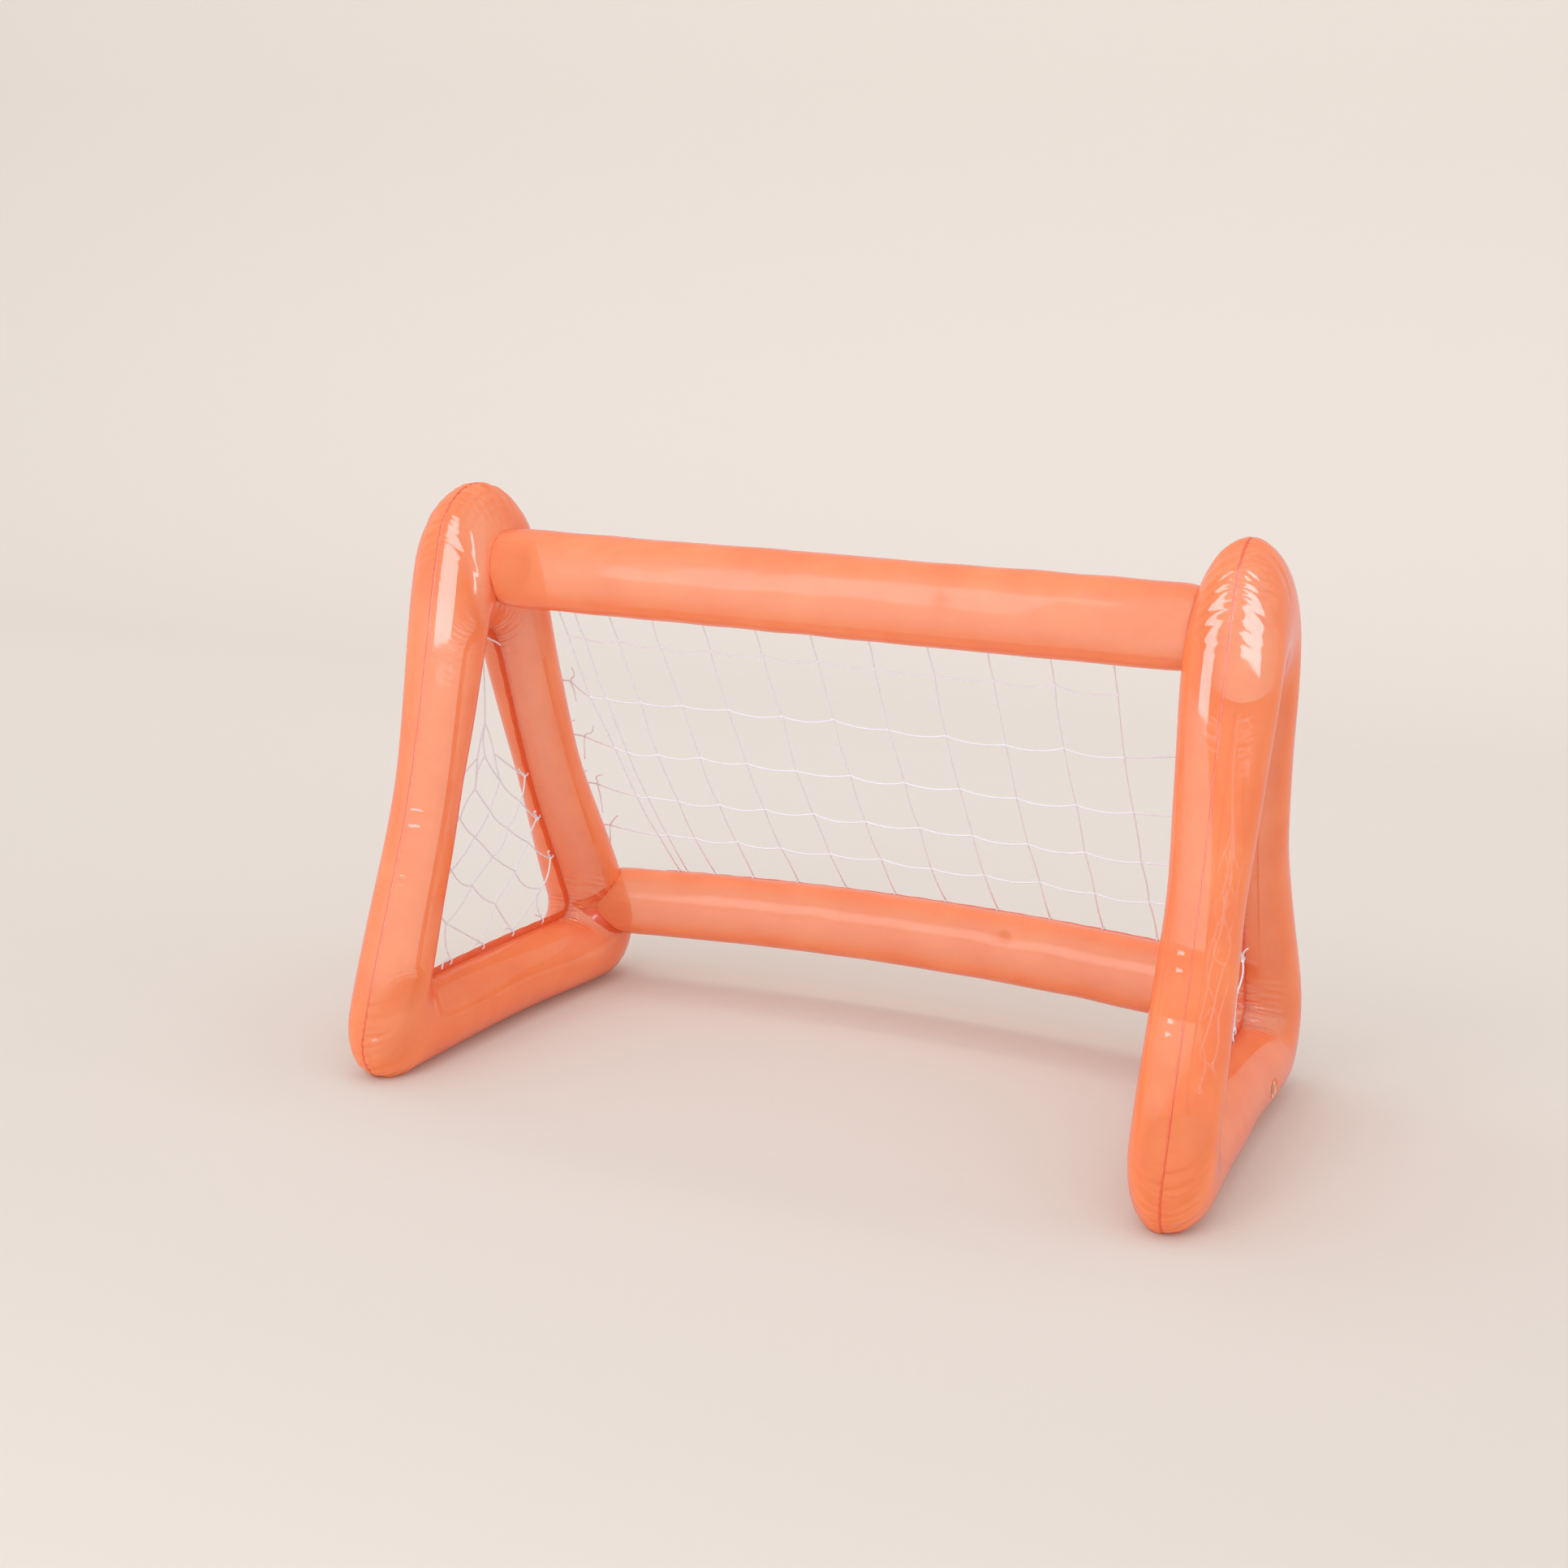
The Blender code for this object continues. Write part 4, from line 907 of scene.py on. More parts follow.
# %% Strings, loops and tails
# Real twine of this kind is 2 mm thick. It is drawn 2.7 mm thick, so that it shows at the camera's distance.
TWINE_RADIUS = 0.00135
LOOP_CENTRE, LOOP_REACH, LOOP_THICK, LOOP_LEAN = 0.0036, 0.0040, 0.0021, 0.0006
LOOP_KNOT = LOOP_CENTRE + LOOP_REACH + 0.0012
TAIL_LENGTH, TAIL_SAG, TAIL_ASIDE = 0.042, 0.16, [0.3, 0.5, 1.0]
TIE_STANDOFF = 0.038
UP = np.array([0.0, 0.0, 1.0])


class Twine:
    """The strings and knots of one net."""

    def __init__(self, seed):
        self.rng = np.random.default_rng(seed)
        self.paths, self.knots = [], []

    def knot(self, at, size=1.0):
        self.knots.append((np.array(at), self.rng.uniform(0, 2 * pi, 3), size * self.rng.uniform(0.9, 1.15)))

    def string(self, a, b, droop=0.0, sway=0.0, steps=9):
        """A string that droops and leans a little to one side, from a to b."""
        t = np.linspace(0, 1, steps)[:, None]
        bow = 4 * t * (1 - t)
        lean = self.rng.normal(0, 1, 3) * sway
        self.paths.append(a + (b - a) * t + bow * (lean - UP * droop))

    def loop(self, hole, out, across):
        """A loop through a hole and round the flange's edge. Returns the place of the knot that closes it."""
        turn = np.linspace(0, 2 * pi, 15)[:, None]
        along = np.cross(out, across)
        ring = hole + out * (LOOP_CENTRE - LOOP_REACH * np.cos(turn)) + across * LOOP_THICK * np.sin(turn)
        self.paths.append(ring + along * (LOOP_LEAN * np.sin(turn / 2)))
        knot = hole + out * LOOP_KNOT
        self.knot(knot, 1.15)
        return knot

    def loops(self, weld):
        """A loop through one hole at each of some places on a weld."""
        return [self.loop(hole, out, across) for hole, out, across in zip(hole_points(weld), weld[1], weld[2])]

    def tail(self, start, way, length, curl):
        """A cut end: it leaves along way, and its own stiffness and its weight bend it over."""
        t = np.linspace(0, 1, 13)[:, None]
        side = np.cross(way, TAIL_ASIDE)
        side = side / np.linalg.norm(side)
        bend = side * curl * np.sin(pi * t * 0.9) - UP * TAIL_SAG * t * t * length
        self.paths.append(start + way * length * t + bend * np.minimum(t * 3, 1))


def unit(v):
    return v / np.linalg.norm(v)


print("twine drawn", TWINE_RADIUS * 2000, "mm thick, tails", TAIL_LENGTH * 1000, "mm long")

# %% Back net
MESH_DROOP, MESH_SWAY, MESH_SHIFT, MESH_WIDTH = 0.0045, 0.0012, 0.0016, 0.09


def build_back_net():
    net = Twine(7)
    starts, ends = net.loops(bar_weld("top", column_places())), net.loops(bar_weld("rear", foot_places()))
    grid = np.zeros((COLUMNS, ROWS, 3))
    share = (FIRST_ROW + ROW_STEP * np.arange(ROWS))[:, None]
    for i in range(COLUMNS):
        grid[i] = starts[i] + (ends[i] - starts[i]) * share - UP * NET_SAG * 4 * share * (1 - share)
        grid[i] += net.rng.normal(0, MESH_SHIFT, (ROWS, 3)) * [1, 0.6, 1]
        stops = [starts[i], *grid[i], ends[i]]
        for a, b in zip(stops, stops[1:]):
            net.string(a, b, droop=0.0008, sway=MESH_SWAY)
        for at in grid[i]:
            net.knot(at)
    for row in range(ROWS):
        for i in range(COLUMNS - 1):
            gap = grid[i + 1, row, 0] - grid[i, row, 0]
            droop = MESH_DROOP * gap / MESH_WIDTH + 0.001
            net.string(grid[i, row], grid[i + 1, row], droop=droop, sway=0.0010)
    for side, column in (("left", 0), ("right", COLUMNS - 1)):
        seam = back_weld(side, back_shares())
        for row, (hole, out, across) in enumerate(zip(hole_points(seam), seam[1], seam[2]), start=1):
            knot = net.loop(hole, out, across)
            inwards = -across * SIDES[side]
            inside = knot + inwards * TIE_STANDOFF
            net.string(grid[column, row], inside, droop=0.002, sway=0.001)
            net.string(inside, knot, droop=0.0, sway=0.0005, steps=5)
            net.knot(inside)
            for at_knot, at_inside in ((0.9, 0.8), (-1.0, -0.9)):
                way = unit(inwards * 0.5 + out * net.rng.uniform(0.2, 0.7) + UP * at_knot)
                net.tail(knot, way, net.rng.uniform(0.020, 0.036), net.rng.uniform(0.002, 0.006))
                way = unit(inwards * net.rng.uniform(0.1, 0.6) - out * 0.25 + UP * at_inside)
                net.tail(inside, way, net.rng.uniform(0.024, 0.046), net.rng.uniform(-0.014, 0.014))
    return net


twines = {"back_net": build_back_net()}
print("back net's strings:", len(twines["back_net"].paths), "knots:", len(twines["back_net"].knots))

# %% Side nets
DIAMOND_DROOP, DIAMOND_SWAY, DIAMOND_SHIFT = 0.001, 0.0032, 0.0022


def opening_line(side, share, spread, count):
    """Points across the opening, a share of the way down it, in its middle plane."""
    front = hole_points(opening_weld(side, "front_leg", share))[0]
    rear = hole_points(opening_weld(side, "rear_leg", 1 - share))[0]
    at = 0.5 + spread * ((np.arange(count) + 0.5) / count - 0.5)
    return front + (rear - front) * at[:, None]


def build_side_net(side):
    net = Twine(17 + SIDES[side])
    ties = {}

    def tie(key, weld):
        hole, out, across = hole_points(weld)[0], weld[1][0], weld[2][0]
        ties[key] = net.loop(hole, out, across)
        along = np.cross(out, across)
        along = -along if along[2] < 0 or (abs(along[2]) < 0.5 and along[1] > 0) else along
        way = unit(along + out * net.rng.uniform(-0.1, 0.5) + across * net.rng.uniform(0.15, 0.5))
        net.tail(ties[key], way, TAIL_LENGTH * net.rng.uniform(0.8, 1.1), net.rng.uniform(0.002, 0.007))

    _, inner, _, normal, _ = frame_sections(WELD_STEP, WELD_STEP)
    top = np.argmax(inner[:, 1])
    tie("peak", frame_weld(side, inner[top:top + 1], -normal[top:top + 1]))
    for i, share in enumerate(TIED_ROWS):
        tie(("front", i), opening_weld(side, "front_leg", share))
        tie(("rear", i), opening_weld(side, "rear_leg", 1 - share))
    for i, share in enumerate(BOTTOM_TIES):
        tie(("bottom", i), opening_weld(side, "bottom", share))
    first = opening_line(side, TOP_KNOT, 0, 1)[0]
    net.knot(first)
    net.string(ties["peak"], first, sway=0.002)
    # Rows of three knots and rows of two take turns on the way down
    between = [((a + b) / 2, 1) for a, b in zip(TIED_ROWS, TIED_ROWS[1:])]
    threes = [opening_line(side, share, spread, 3)
              for share, spread in ((NARROW_ROW, NARROW_SPREAD), *between, (LAST_ROW, 1))]
    lines = [opening_line(side, share, 1, 3) for share in TIED_ROWS]
    twos = [(line[:-1] + line[1:]) / 2 for line in lines]
    for group in (*threes, *twos):
        group += net.rng.normal(0, DIAMOND_SHIFT, group.shape) * [0.6, 1, 1]
        for at in group:
            net.knot(at)
    for at in threes[0]:
        net.string(first, at, sway=0.003)
    tied = [[ties["front", i], *twos[i], ties["rear", i]] for i in range(len(TIED_ROWS))]
    tied.append([ties["bottom", i] for i in range(len(BOTTOM_TIES))])
    for row, group in enumerate(threes):
        for k, at in enumerate(group):
            ways = [(at, tied[row][k]), (at, tied[row][k + 1])]
            if row < len(TIED_ROWS):
                ways += [(tied[row][k], threes[row + 1][k]), (tied[row][k + 1], threes[row + 1][k])]
            for a, b in ways:
                net.string(a, b, droop=DIAMOND_DROOP, sway=DIAMOND_SWAY)
    return net


for side in SIDES:
    twines[side + "_side_net"] = net = build_side_net(side)
    print(side, "side net's strings:", len(net.paths), "knots:", len(net.knots))

# %% Geometry Nodes tree for the twine
TWINE_SIDES = 6
NUMBER_PER_POINT = {"data_type": "FLOAT", "domain": "POINT"}


def twine_tree():
    """Gives edges a round section and puts a knot on every point of another mesh."""
    tree = bpy.data.node_groups.new("twine net", "GeometryNodeTree")
    ids = {}
    for name, kind in (("Strings", "Geometry"), ("Knot Points", "Object"), ("Knot Shape", "Object"),
                       ("Twine Radius", "Float"), ("Twine Material", "Material")):
        socket = tree.interface.new_socket(name, in_out="INPUT", socket_type="NodeSocket" + kind)
        ids[name] = socket.identifier
    tree.interface.new_socket("Net", in_out="OUTPUT", socket_type="NodeSocketGeometry")
    source = add(tree, "NodeGroupInput").outputs
    curves = add(tree, "GeometryNodeMeshToCurve", Mesh=source["Strings"]).outputs[0]
    place = add(tree, "GeometryNodeSplineParameter").outputs
    curves = add(tree, "GeometryNodeStoreNamedAttribute", NUMBER_PER_POINT,
                 Geometry=curves, Name="along", Value=place["Length"]).outputs[0]
    profile = add(tree, "GeometryNodeCurvePrimitiveCircle",
                  Resolution=TWINE_SIDES, Radius=source["Twine Radius"]).outputs["Curve"]
    turn = add(tree, "ShaderNodeMath", {"operation": "MULTIPLY"}, i0=place["Factor"], i1=2 * pi).outputs[0]
    for name, operation in (("round_cos", "COSINE"), ("round_sin", "SINE")):
        wave = add(tree, "ShaderNodeMath", {"operation": operation}, i0=turn).outputs[0]
        profile = add(tree, "GeometryNodeStoreNamedAttribute", NUMBER_PER_POINT,
                      Geometry=profile, Name=name, Value=wave).outputs[0]
    tube = add(tree, "GeometryNodeCurveToMesh", Curve=curves, Profile_Curve=profile, Fill_Caps=True).outputs[0]
    spots = add(tree, "GeometryNodeObjectInfo", Object=source["Knot Points"]).outputs["Geometry"]
    shape = add(tree, "GeometryNodeObjectInfo", Object=source["Knot Shape"]).outputs["Geometry"]
    spin = add(tree, "GeometryNodeInputNamedAttribute", {"data_type": "FLOAT_VECTOR"}, Name="spin")
    size = add(tree, "GeometryNodeInputNamedAttribute", {"data_type": "FLOAT"}, Name="size")
    euler = add(tree, "FunctionNodeEulerToRotation", Euler=spin.outputs["Attribute"])
    knots = add(tree, "GeometryNodeInstanceOnPoints", Points=spots, Instance=shape,
                Rotation=euler.outputs[0], Scale=size.outputs["Attribute"]).outputs[0]
    knots = add(tree, "GeometryNodeRealizeInstances", Geometry=knots).outputs[0]
    joined = add(tree, "GeometryNodeJoinGeometry")
    for part in (tube, knots):
        tree.links.new(part, joined.inputs[0])
    rounded = add(tree, "GeometryNodeSetShadeSmooth", Geometry=joined.outputs[0]).outputs[0]
    dressed = add(tree, "GeometryNodeSetMaterial", Geometry=rounded, Material=source["Twine Material"])
    add(tree, "NodeGroupOutput", i0=dressed.outputs[0])
    return tree, ids


tree, ids = twine_tree()
print("twine tree:", len(tree.nodes), "nodes")

# %% Knots, and a net made solid
KNOT_STEPS, KNOT_SIDES = 18, 4
KNOT_SCALE, KNOT_STRAND, KNOT_DEPTH = 0.00062, 0.00095, 1.4


def knot_shape():
    """A trefoil of the same twine, pulled tight: few faces, since every crossing repeats it."""
    t = np.linspace(0, 2 * pi, KNOT_STEPS, endpoint=False)
    wide = 2 + np.cos(3 * t)
    ring = np.stack([wide * np.cos(2 * t), wide * np.sin(2 * t), KNOT_DEPTH * np.sin(3 * t)], 1) * KNOT_SCALE
    ahead = np.roll(ring, -1, 0) - np.roll(ring, 1, 0)
    ahead /= np.linalg.norm(ahead, axis=1)[:, None]
    side = np.cross(ahead, ring)
    side /= np.linalg.norm(side, axis=1)[:, None]
    up = np.cross(ahead, side)
    turn = np.arange(KNOT_SIDES)[:, None] * 2 * pi / KNOT_SIDES
    verts = ring[:, None] + KNOT_STRAND * (side[:, None] * np.cos(turn) + up[:, None] * np.sin(turn))
    faces = []
    for i in range(KNOT_STEPS):
        a, b = i * KNOT_SIDES, (i + 1) % KNOT_STEPS * KNOT_SIDES
        for j in range(KNOT_SIDES):
            k = (j + 1) % KNOT_SIDES
            faces.append([a + j, a + k, b + k, b + j])
    return solid_mesh("knot shape", verts.reshape(-1, 3), faces)


def point_object(name, points, edges=()):
    data = bpy.data.meshes.new(name)
    data.from_pydata([tuple(p) for p in points], [tuple(e) for e in edges], [])
    return placed(name, data)


def net_object(name, net, shape, look):
    """Runs the tree on one net and keeps its result as a plain mesh."""
    points = np.concatenate(net.paths)
    starts = np.cumsum([0] + [len(p) for p in net.paths])
    edges = [(i, i + 1) for a, b in zip(starts, starts[1:]) for i in range(a, b - 1)]
    strings = point_object(name + " strings", points, edges)
    places, spins, sizes = zip(*net.knots)
    spots = point_object(name + " knots", places)
    spin = spots.data.attributes.new("spin", "FLOAT_VECTOR", "POINT")
    spin.data.foreach_set("vector", np.array(spins, np.float32).ravel())
    size = spots.data.attributes.new("size", "FLOAT", "POINT")
    size.data.foreach_set("value", np.array(sizes, np.float32))
    modifier = strings.modifiers.new("twine", "NODES")
    modifier.node_group = tree
    modifier[ids["Knot Points"]] = spots
    modifier[ids["Knot Shape"]] = shape
    modifier[ids["Twine Radius"]] = TWINE_RADIUS
    modifier[ids["Twine Material"]] = look
    graph = bpy.context.evaluated_depsgraph_get()
    data = bpy.data.meshes.new_from_object(
        strings.evaluated_get(graph), preserve_all_data_layers=True, depsgraph=graph)
    for helper in (strings, spots):
        bpy.data.objects.remove(helper)
    return placed(name + "_twine", data)


shape = knot_shape()
print("one knot:", len(shape.data.polygons), "faces")

# %% [markdown]
# ## Soft PVC film
#
# The chambers are calendered soft PVC, tinted coral and 0.45 mm thick. Calendering leaves both faces very
# smooth, so the frames mirror the lamps sharply. The bars carry a weaker, softer patch, so their film gets a
# satin finish of its own. Their copy of the film is also painted a little paler than the frames', which is
# painted light that lifts the bars' shaded undersides. The pigment is thin: head-on a good part of the light
# goes straight through, and towards the rim, where the line of sight runs along the film, it takes almost all
# of it. Layer Weight's facing value gives that, and it drives the alpha. A coloured glass shader could do it
# too, but it needs light paths through four walls and turns opaque in an export. A weak coat with a faint pink
# tint deepens the colour at a low angle, as the longer way through the film does. The weld is pressed by a
# heated bar, which leaves a duller band of fine cross ribs. Its trimmed edge is deeper in colour and shows as
# a broken line.

# %% Film material
WELD_HALF_WIDTH, TRIM_FULL, TRIM_END = 0.0020, 0.0002, 0.0007
RIB_PITCH, DASH_PITCH = 0.0016, 0.017
# The film's cloudiness is about 90 mm across. Its grain is finer than a tenth of a millimetre, and is drawn
# 4 mm coarse, so that it shows in the lamps' mirror images.
CLOUD_SIZE, SKIN_GRAIN = 1 / 11, 1 / 240
PVC_IOR = 1.53
BAND_COLOUR, TRIM_COLOUR, COAT_TINT = "#F27644", "#EC6E40", "#FFEEF1"
SMOOTH_STEP, TIMES = {"interpolation_type": "SMOOTHSTEP"}, {"operation": "MULTIPLY"}
COLOURS = {"data_type": "RGBA"}


def film_material(name, body, deep, head_on, edge_on, mirror, satin):
    """Film with its two body colours, its alpha seen head-on and edge-on, and how it mirrors the lamps."""
    made, tree, shader = new_material(name)
    facing = add(tree, "ShaderNodeLayerWeight", Blend=0.5).outputs["Facing"]
    weld = add(tree, "ShaderNodeAttribute", {"attribute_name": "weld_distance"}).outputs["Fac"]
    along = add(tree, "ShaderNodeAttribute", {"attribute_name": "along"}).outputs["Fac"]
    place = add(tree, "ShaderNodeTexCoord").outputs["Object"]
    # 1 on the weld's band, and 1 on its trimmed edge where the broken line shows
    band = add(tree, "ShaderNodeMapRange", SMOOTH_STEP, Value=weld, From_Min=WELD_HALF_WIDTH * 0.8,
               From_Max=WELD_HALF_WIDTH * 1.2, To_Min=1.0, To_Max=0.0).outputs[0]
    edge = add(tree, "ShaderNodeMapRange", SMOOTH_STEP, Value=weld, From_Min=TRIM_FULL,
               From_Max=TRIM_END, To_Min=1.0, To_Max=0.0).outputs[0]
    turns = add(tree, "ShaderNodeMath", TIMES, i0=along, i1=2 * pi / DASH_PITCH).outputs[0]
    dashes = add(tree, "ShaderNodeMath", {"operation": "SINE"}, i0=turns).outputs[0]
    broken = add(tree, "ShaderNodeMapRange", SMOOTH_STEP, Value=dashes, From_Min=-0.6, From_Max=0.1,
                 To_Min=0.1, To_Max=1.0).outputs[0]
    trim = add(tree, "ShaderNodeMath", TIMES, i0=edge, i1=broken).outputs[0]
    # Colour: a soft cloudiness, then the band, then the trimmed edge
    cloud = add(tree, "ShaderNodeTexNoise", Vector=place, Scale=1 / CLOUD_SIZE, Detail=3.0).outputs["Fac"]
    spread = add(tree, "ShaderNodeMapRange", Value=cloud, From_Min=0.35, From_Max=0.65).outputs[0]
    tint = add(tree, "ShaderNodeMix", COLOURS, i0=spread, i6=body, i7=deep).outputs[2]
    tint = add(tree, "ShaderNodeMix", COLOURS, i0=band, i6=tint, i7=BAND_COLOUR).outputs[2]
    tint = add(tree, "ShaderNodeMix", COLOURS, i0=trim, i6=tint, i7=TRIM_COLOUR).outputs[2]
    clear = add(tree, "ShaderNodeMapRange", SMOOTH_STEP, Value=facing, From_Min=0.08, From_Max=0.62,
                To_Min=head_on, To_Max=edge_on).outputs[0]
    rough = add(tree, "ShaderNodeMapRange", Value=band, To_Min=satin, To_Max=0.20).outputs[0]
    # Relief: the band's ribs and the skin's grain
    turns = add(tree, "ShaderNodeMath", TIMES, i0=along, i1=2 * pi / RIB_PITCH).outputs[0]
    ribs = add(tree, "ShaderNodeMath", {"operation": "SINE"}, i0=turns).outputs[0]
    ribs = add(tree, "ShaderNodeMath", TIMES, i0=ribs, i1=band).outputs[0]
    skin = add(tree, "ShaderNodeTexNoise", Vector=place, Scale=1 / SKIN_GRAIN, Detail=2.0).outputs["Fac"]
    height = add(tree, "ShaderNodeMath", {"operation": "MULTIPLY_ADD"}, i0=skin, i1=0.10, i2=ribs).outputs[0]
    bump = add(tree, "ShaderNodeBump", Strength=0.30, Distance=0.0004, Height=height).outputs[0]
    fill(tree, shader, Base_Color=tint, Alpha=clear, Roughness=rough, Normal=bump, IOR=PVC_IOR,
         Specular_IOR_Level=mirror, Coat_Weight=1.0, Coat_IOR=1.10, Coat_Roughness=0.35, Coat_Tint=COAT_TINT)
    return made


film = film_material("calendered soft PVC film, coral", "#FDA062", "#F89358", 0.61, 0.98, 0.5, 0.05)
# The bars' copy of the film is painted paler than the frames': painted light that lifts their shaded
# undersides. Its weaker, softer gloss is a real satin finish.
paler_painted_bar_film = film_material("satin soft PVC film, coral, painted paler", "#FBA670", "#F79A66", 0.63, 0.98, 0.10, 0.11)
disc_film = film_material("soft PVC film, three layers welded in a disc", "#F46C54", "#EE624A",
                          0.78, 0.98, 0.4, 0.15)
print("film materials:", film.name, "/", paler_painted_bar_film.name, "/", disc_film.name)

# %% [markdown]
# ## Flange film, twine and valve plastic
#
# The flanges are two layers of the film pressed into one, so they are deeper in colour and let less light
# through. The twine is three twisted strands of polyester: the strands show as fine slanting grooves, which
# come from the place along the string and round it that the tree stored. The grooves are bumped, and they are
# also painted a darker lilac than the crests, which is painted shade. Modelling the strands one by one would
# cost ten times the faces for the same look. The valves are moulded in soft clear PVC, and a mould leaves a
# satin surface with a milky tint.

# %% Flange, twine and valve materials
TWIST_PITCH = 0.0042
STRANDS = 3


def flange_material():
    made, tree, shader = new_material("pressed double PVC film, coral")
    facing = add(tree, "ShaderNodeLayerWeight", Blend=0.5).outputs["Facing"]
    place = add(tree, "ShaderNodeTexCoord").outputs["Object"]
    cloud = add(tree, "ShaderNodeTexNoise", Vector=place, Scale=60.0, Detail=2.0).outputs["Fac"]
    tint = add(tree, "ShaderNodeMix", COLOURS, i0=cloud, i6="#F87238", i7="#EE6230").outputs[2]
    clear = add(tree, "ShaderNodeMapRange", Value=facing, From_Max=0.9, To_Min=0.52, To_Max=0.95).outputs[0]
    rough = add(tree, "ShaderNodeMapRange", Value=cloud, From_Min=0.3, From_Max=0.7,
                To_Min=0.18, To_Max=0.30).outputs[0]
    grain = add(tree, "ShaderNodeTexNoise", Vector=place, Scale=900.0, Detail=1.0).outputs["Fac"]
    bump = add(tree, "ShaderNodeBump", Strength=0.25, Distance=0.0002, Height=grain).outputs[0]
    fill(tree, shader, Base_Color=tint, Alpha=clear, Roughness=rough, Normal=bump, IOR=PVC_IOR)
    return made


def twine_material():
    made, tree, shader = new_material("twisted polyester twine, pale lilac white")
    along, round_cos, round_sin = (
        add(tree, "ShaderNodeAttribute", {"attribute_name": name}).outputs["Fac"]
        for name in ("along", "round_cos", "round_sin"))
    turn = add(tree, "ShaderNodeMath", {"operation": "ARCTAN2"}, i0=round_sin, i1=round_cos).outputs[0]
    around = add(tree, "ShaderNodeMath", TIMES, i0=turn, i1=float(STRANDS)).outputs[0]
    phase = add(tree, "ShaderNodeMath", {"operation": "MULTIPLY_ADD"},
                i0=along, i1=2 * pi * STRANDS / TWIST_PITCH, i2=around).outputs[0]
    strand = add(tree, "ShaderNodeMath", {"operation": "SINE"}, i0=phase).outputs[0]
    crest_vs_painted_groove_shade = add(tree, "ShaderNodeMapRange", SMOOTH_STEP, Value=strand, From_Min=-1.0, From_Max=0.4).outputs[0]
    place = add(tree, "ShaderNodeTexCoord").outputs["Object"]
    worn = add(tree, "ShaderNodeTexNoise", Vector=place, Scale=30.0, Detail=2.0).outputs["Fac"]
    clean = add(tree, "ShaderNodeMix", COLOURS, i0=worn, i6="#F9FBFF", i7="#F1F3FD").outputs[2]
    # The grooves get a darker lilac than the crests: painted shade in the recesses between the strands
    tint = add(tree, "ShaderNodeMix", COLOURS, i0=crest_vs_painted_groove_shade, i6="#E6E6FA", i7=clean).outputs[2]
    bump = add(tree, "ShaderNodeBump", Strength=0.6, Distance=0.0003, Height=crest_vs_painted_groove_shade).outputs[0]
    fill(tree, shader, Base_Color=tint, Normal=bump, Roughness=0.55, Sheen_Weight=0.25)
    return made


def valve_material():
    made, tree, shader = new_material("moulded soft PVC, clear with a milky coral tint")
    facing = add(tree, "ShaderNodeLayerWeight", Blend=0.5).outputs["Facing"]
    place = add(tree, "ShaderNodeTexCoord").outputs["Object"]
    cloud = add(tree, "ShaderNodeTexNoise", Vector=place, Scale=150.0, Detail=2.0).outputs["Fac"]
    tint = add(tree, "ShaderNodeMix", COLOURS, i0=cloud, i6="#FFD2B4", i7="#FFC6A4").outputs[2]
    clear = add(tree, "ShaderNodeMapRange", Value=facing, To_Min=0.34, To_Max=0.90).outputs[0]
    rough = add(tree, "ShaderNodeMapRange", Value=cloud, From_Min=0.3, From_Max=0.7,
                To_Min=0.16, To_Max=0.26).outputs[0]
    fill(tree, shader, Base_Color=tint, Alpha=clear, Roughness=rough, IOR=PVC_IOR)
    return made


flange_film, twine_look, valve_look = flange_material(), twine_material(), valve_material()
print("other materials:", flange_film.name, "/", twine_look.name, "/", valve_look.name)

# %% Dress the pieces and make the nets
dressed = ((frames_film, film), (bars_film, paler_painted_bar_film), (discs_film, disc_film), (flanges, flange_film))
for pieces, look in dressed:
    for item in pieces.values():
        dress(item, look)
for title, item in nodes.items():
    if "_valve_" in title:
        dress(item, valve_look)

nets = {name: net_object(name, net, shape, twine_look) for name, net in twines.items()}
bpy.data.objects.remove(shape)
print("nets:", {name: len(item.data.polygons) for name, item in nets.items()})

# %% [markdown]
# ## Floor and light
#
# A pale paper floor bends up into a backdrop. An even white sky gives most of the light, as in a tent of
# diffusers. One broad key lamp in front models the tubes, and a weak low one lifts their undersides. A lamp
# behind the goal, turned away from it, keeps the backdrop as pale as the floor.
#
# The long stripes on film like this are mirror images of softboxes. Where they fall says where the boxes
# stand: close in front of the goal, a tall one at the left and a lower one at the right. The tall one makes
# the left lobe's stripe, the right lobe's first stripe, the patch on both bars and the small marks on the
# front legs, and the other makes the right lobe's second stripe. As light sources they would be far too
# bright so close, so each is only seen in gloss and lights nothing, and the key does the reverse. They are a
# little cool, so that their images stay white against the coral.

# %% Floor
FLOOR_FRONT, BEND_START, BEND_RADIUS = -9.0, 3.0, 2.0
BACKDROP_TOP, HALF_WIDTH = 8.0, 12


def make_stage():
    rows = [(FLOOR_FRONT, 0.0), (BEND_START, 0.0)]
    rows += [(BEND_START + BEND_RADIUS * sin(a), BEND_RADIUS - BEND_RADIUS * cos(a))
             for a in np.linspace(0.1, pi / 2, 12)]
    rows.append((BEND_START + BEND_RADIUS, BACKDROP_TOP))
    data = bpy.data.meshes.new("floor")
    verts = [(x, y, z) for y, z in rows for x in (-HALF_WIDTH, HALF_WIDTH)]
    faces = [(2 * i, 2 * i + 1, 2 * i + 3, 2 * i + 2) for i in range(len(rows) - 1)]
    data.from_pydata(verts, [], faces)
    data.shade_smooth()
    made = placed("floor", data)
    look, tree, shader = new_material("pale studio paper")
    fill(tree, shader, Base_Color="#DDD5CE", Roughness=0.95, Specular_IOR_Level=0.2)
    dress(made, look)


make_stage()
print("floor and backdrop:", HALF_WIDTH * 2, "m wide and", BACKDROP_TOP, "m high")

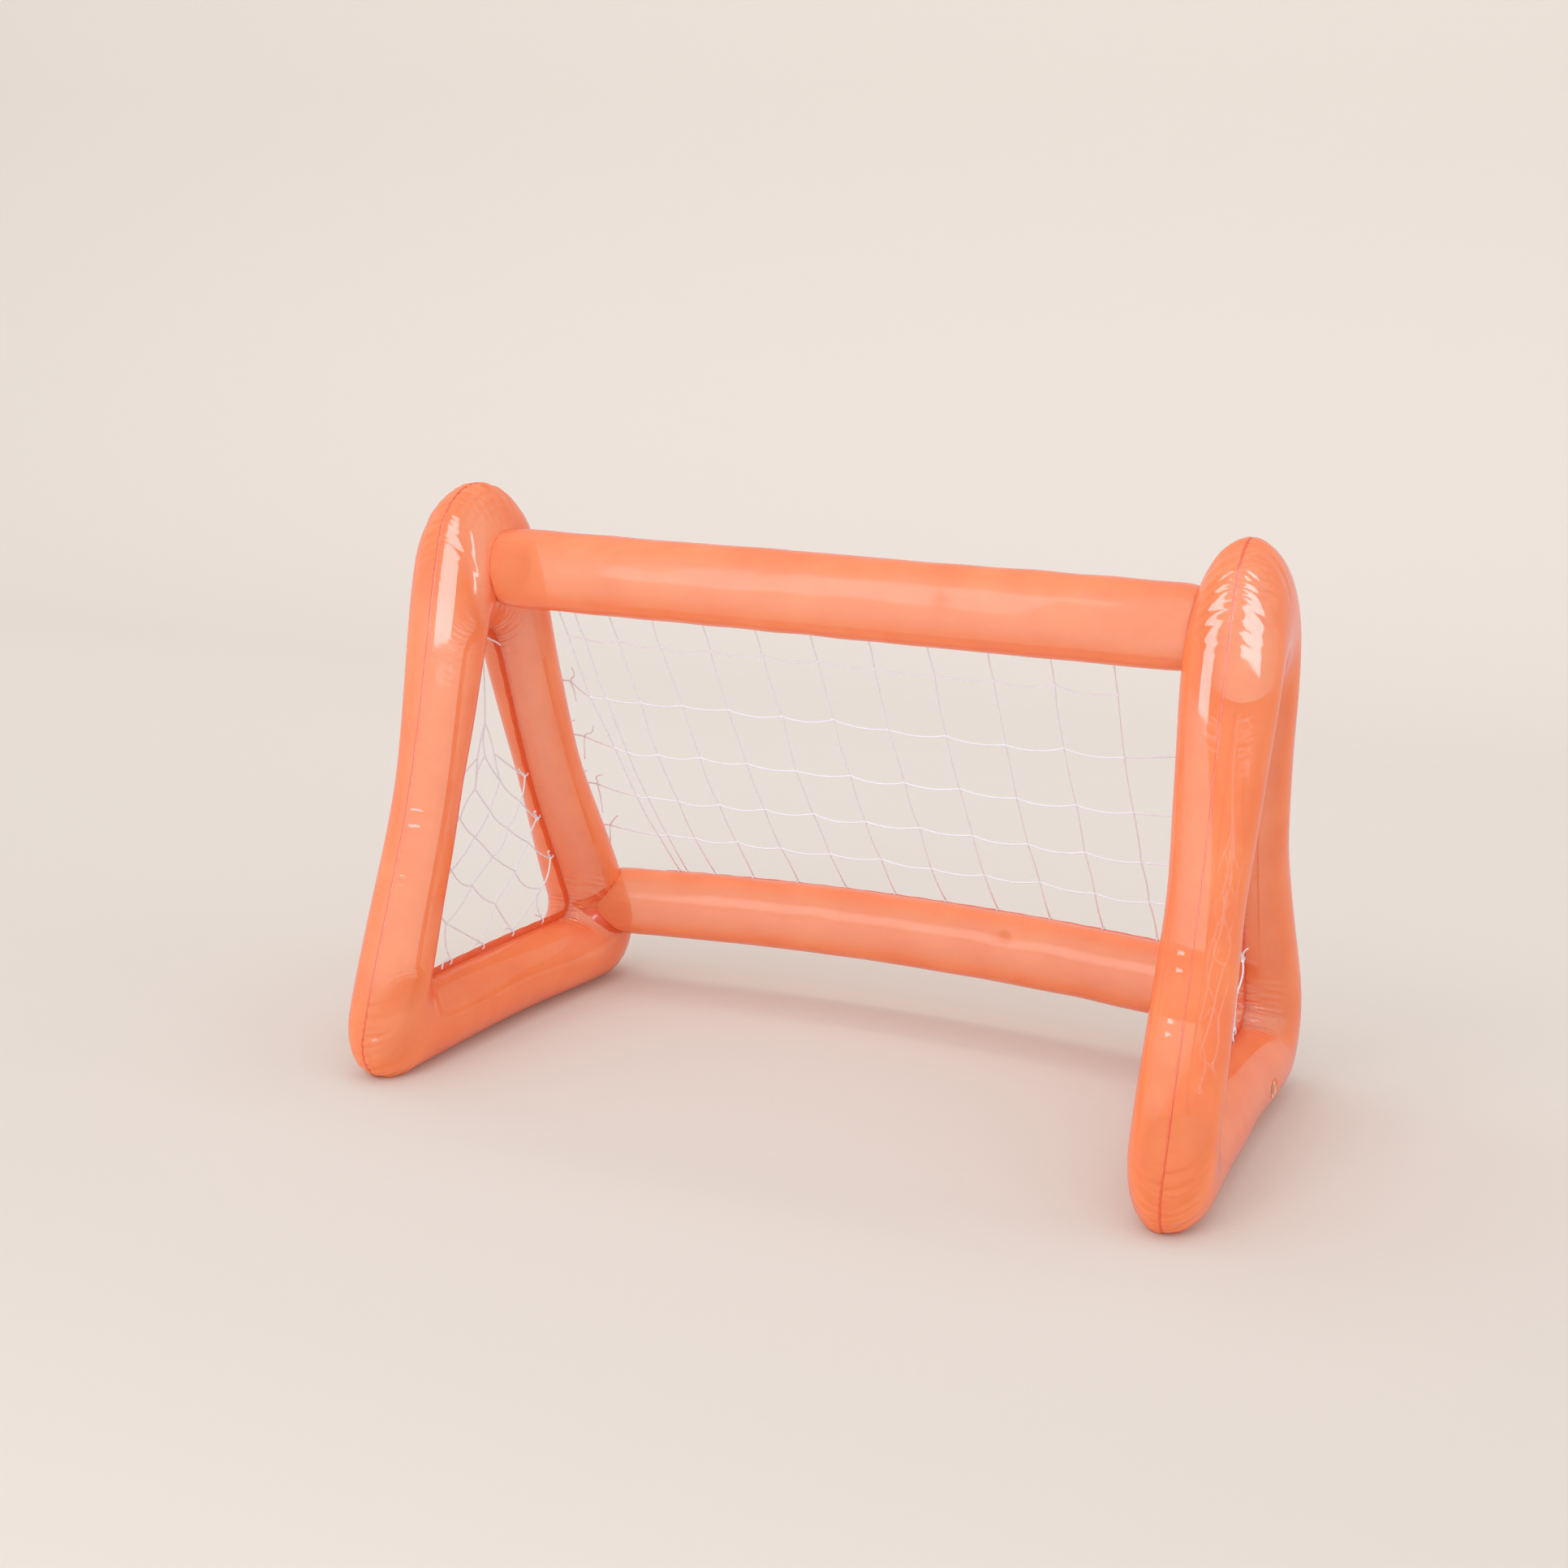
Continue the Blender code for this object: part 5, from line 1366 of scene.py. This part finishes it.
# %% Light
def lamp(name, place, aim, size, watts, soft_light=True, mirrored=True, colour="#FFFFFF"):
    """An area lamp. soft_light says whether it lights surfaces, mirrored whether gloss shows it."""
    data = bpy.data.lights.new(name, "AREA")
    data.shape = "RECTANGLE"
    data.size, data.size_y = size
    data.energy = watts
    data.color = linear(colour)[:3]
    made = placed(name, data)
    made.location = place
    made.rotation_euler = (Vector(aim) - Vector(place)).to_track_quat("-Z", "Y").to_euler()
    made.visible_diffuse, made.visible_glossy = soft_light, mirrored
    made.visible_camera = False


def make_world(strength):
    world = bpy.data.worlds.new("studio")
    world.use_nodes = True
    fill(world.node_tree, world.node_tree.nodes["Background"], Color="#FFFFFF", Strength=strength)
    bpy.context.scene.world = world


make_world(0.97)
lamp("left softbox's mirror image", (-0.60, -1.43, 1.93), (-0.60, 0.0, 1.93), (0.94, 2.1), 88,
     soft_light=False, colour="#D9F3FF")
lamp("right softbox's mirror image", (1.28, -0.78, 1.56), (1.28, 0.0, 1.56), (0.92, 1.28), 60,
     soft_light=False, colour="#D9F3FF")
lamp("key", (-0.5, -5.4, 4.2), (0.0, 0.0, 0.5), (3.0, 3.0), 85, mirrored=False)
lamp("low fill", (0.4, -3.2, 0.35), (0.0, 0.0, 0.7), (4.0, 0.5), 20, mirrored=False)
lamp("backdrop wash", (-1.5, 1.2, 3.6), (-1.5, 5.0, 1.2), (14.0, 0.8), 70, mirrored=False)
bpy.context.scene.view_settings.view_transform = "Standard"

# %% [markdown]
# ## Handing over
#
# Nothing large moves on an inflated goal, so every piece made here rides on the body that carries the
# chambers. Each stands in for one node of the construction model. The valves keep their own nodes, since their
# stems, caps and flaps ride on bodies of their own.

# %% Hand over the pieces
for side, item in frames_film.items():
    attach(item, "goal")
    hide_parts(side + "_side_frame")
for name, item in bars_film.items():
    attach(item, "goal")
    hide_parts(name + "_crossbar")
for (name, side), item in discs_film.items():
    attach(item, "goal")
    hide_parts(f"{name}_crossbar_{side}_end_disc")
for name, item in flanges.items():
    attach(item, "goal")
    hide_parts(name)
for name, item in nets.items():
    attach(item, "goal")
    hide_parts(name)
print("pieces handed over:", sum(map(len, (frames_film, bars_film, discs_film, flanges, nets))))
